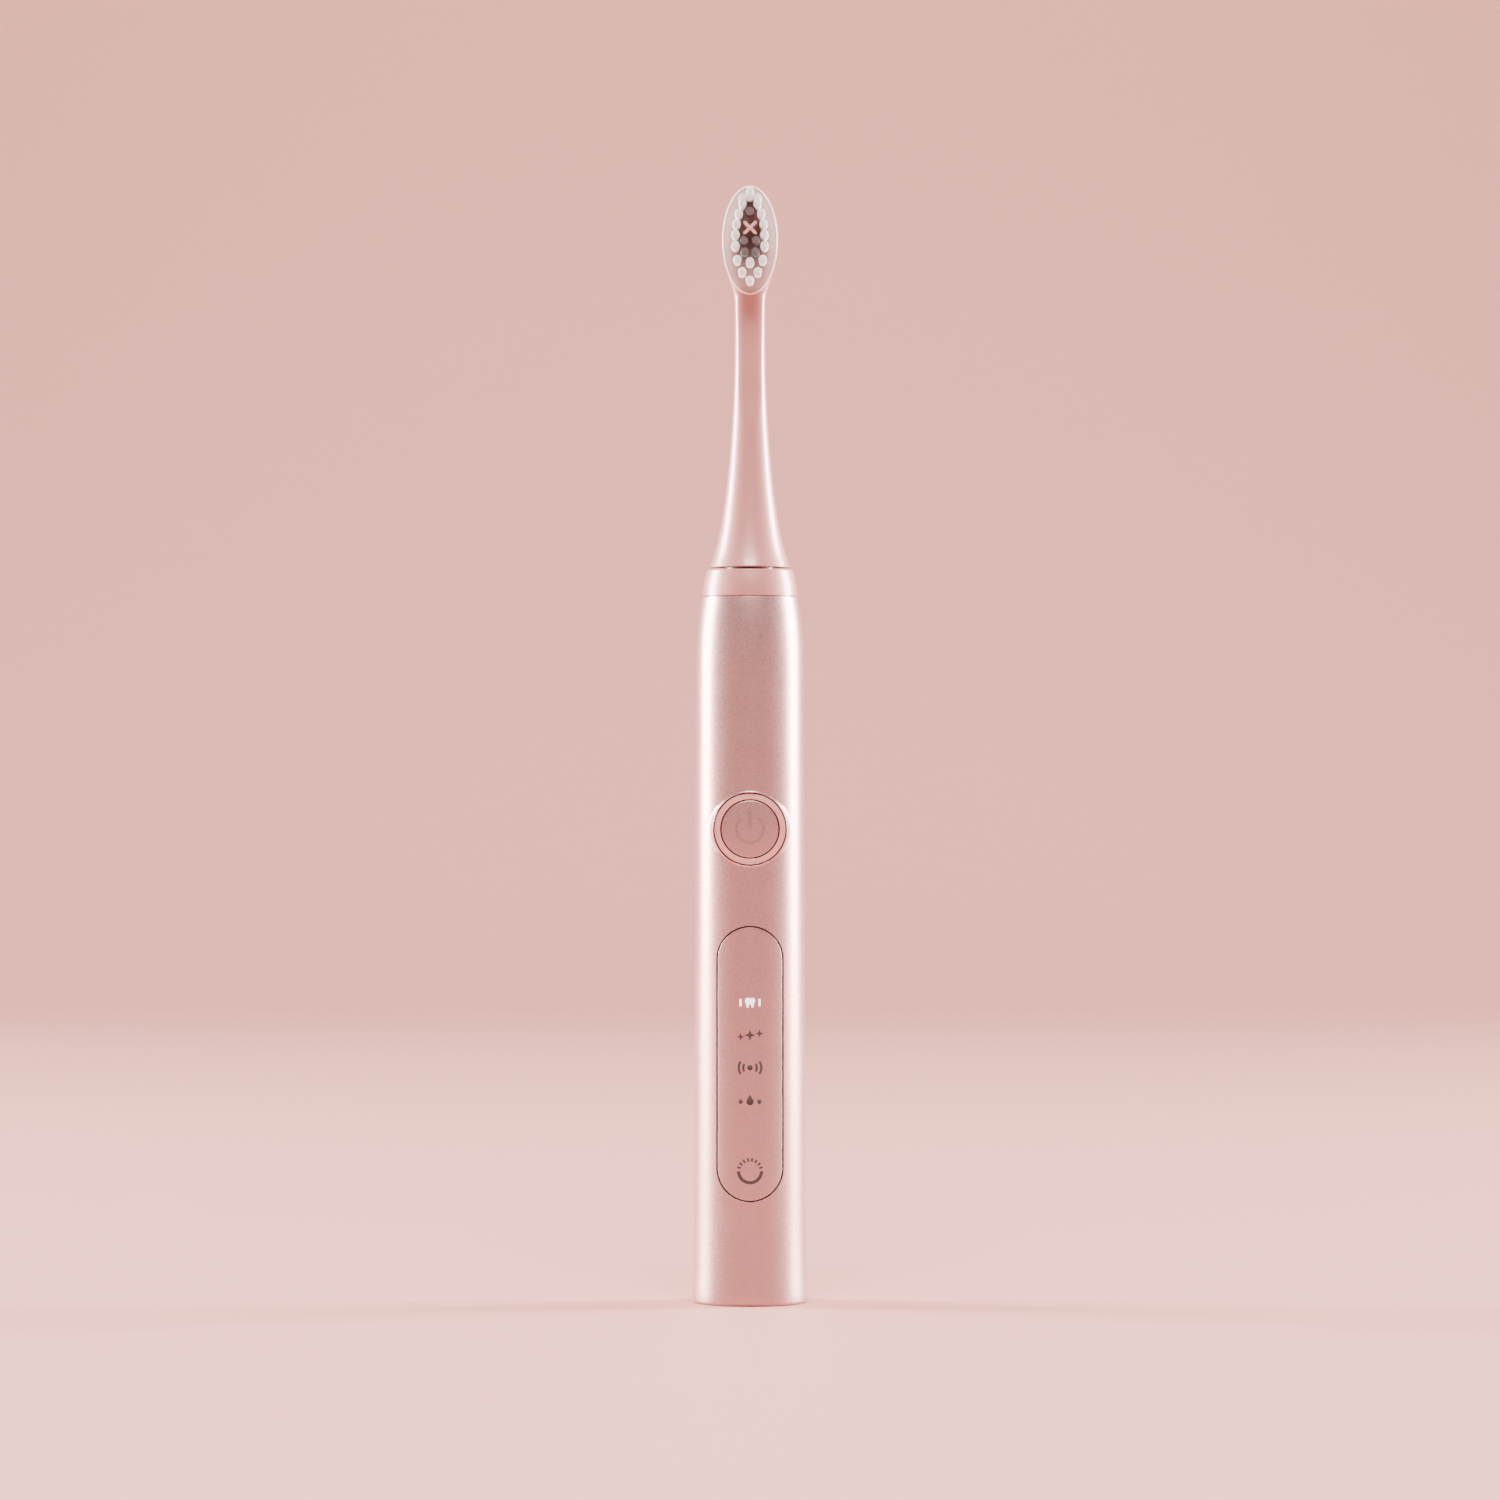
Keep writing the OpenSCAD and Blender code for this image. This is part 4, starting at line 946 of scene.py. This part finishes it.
makePiece("whiteTufts", [filaments(whiteRows, tuft["white"], tuft["seed"]),
                         tuftCores(whiteRows, tuft["white"])], "white_nylon", "brush_head", ("white_tufts",))
makePiece("greyTufts", [filaments(greyRows, tuft["grey"], tuft["seed"] + 1),
                        tuftCores(greyRows, tuft["grey"])], "grey_nylon", "brush_head", ("grey_tufts",))
makePiece("polisherCross", [polisherCross()], "pink_rubber", "brush_head", ("polisher_cross",))
print("tufts made")

# the rest of the CAD nodes keep their shape and get a finish by their record's slot
for name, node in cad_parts.items():
    for place in node.material_slots:
        slotName = place.material.name.split(".")[0] if place.material else ""
        if slotName in looks:
            place.material = looks[slotName]
print("carried-over nodes finished")

# setting: a level camera, a floor that curves up into a backdrop, and soft lights, in metres and watts
setting = dict(lens=163.0, distance=1.515, height=0.1232, floorColor=(0.68, 0.29, 0.245, 1), floorFront=4.0,
               floorBack=1.7, curve=1.4, wallTop=4.0, halfWidth=5.0, worldColor=(1.0, 0.95, 0.93, 1),
               world=0.48)
sideLight = dict(turn=107, distance=2.0, height=0.56, size=(0.8, 1.0), power=250.0)


def makeCamera():
    camera = newObject("camera", bpy.data.cameras.new("camera"))
    camera.data.lens = setting["lens"]
    camera.data.sensor_width = 36.0
    camera.location = (0, -setting["distance"], setting["height"])
    camera.rotation_euler = (math.pi / 2, 0, 0)
    bpy.context.scene.camera = camera


def makeFloor():
    # flat behind the object, then a quarter circle up into a wall
    turn = np.linspace(0, math.pi / 2, 40)
    back, curve, half = setting["floorBack"], setting["curve"], setting["halfWidth"]
    y = np.concatenate([[-setting["floorFront"], back], back + curve * np.sin(turn[1:]), [back + curve]])
    z = np.concatenate([[0, 0], curve - curve * np.cos(turn[1:]), [setting["wallTop"]]])
    points = [(x, across, up) for across, up in zip(y, z) for x in (-half, half)]
    mesh = bpy.data.meshes.new("floor")
    mesh.from_pydata(points, [], gridQuads(len(y), 2)[:, ::-1].tolist())
    mesh.shade_smooth()
    floor = newObject("floor", mesh)
    paint = Paint("floorPaint")
    mesh.materials.append(paint.set(color=setting["floorColor"], rough=0.55 + paint.noise(30.0) * 0.1))


def areaLight(name, power, size, place, aim):
    lamp = bpy.data.lights.new(name, "AREA")
    lamp.shape = "RECTANGLE"
    lamp.size, lamp.size_y = size
    lamp.energy = power
    light = newObject(name, lamp)
    light.location = place
    direction = mathutils.Vector(aim) - mathutils.Vector(place)
    light.rotation_euler = direction.to_track_quat("-Z", "Y").to_euler()
    light.visible_camera = False


makeCamera()
makeFloor()
turn, height = math.radians(sideLight["turn"]), sideLight["height"]
for side, name in ((-1, "leftLight"), (1, "rightLight")):
    place = (side * sideLight["distance"] * math.sin(turn), -sideLight["distance"] * math.cos(turn), height)
    areaLight(name, sideLight["power"], sideLight["size"], place, (0, 0, height))
areaLight("frontFill", 74.0, (0.9, 0.7), (0, -1.2, 1.6), (0, 0, 0.14))
areaLight("topFill", 8.0, (1.0, 1.0), (0, 0.2, 1.7), (0, 0, 0.1))
world = bpy.data.worlds.new("studio")
world.use_nodes = True
background = world.node_tree.nodes["Background"]
background.inputs["Color"].default_value = setting["worldColor"]
background.inputs["Strength"].default_value = setting["world"]
bpy.context.scene.world = world
bpy.context.view_layer.update()
print("setting made")
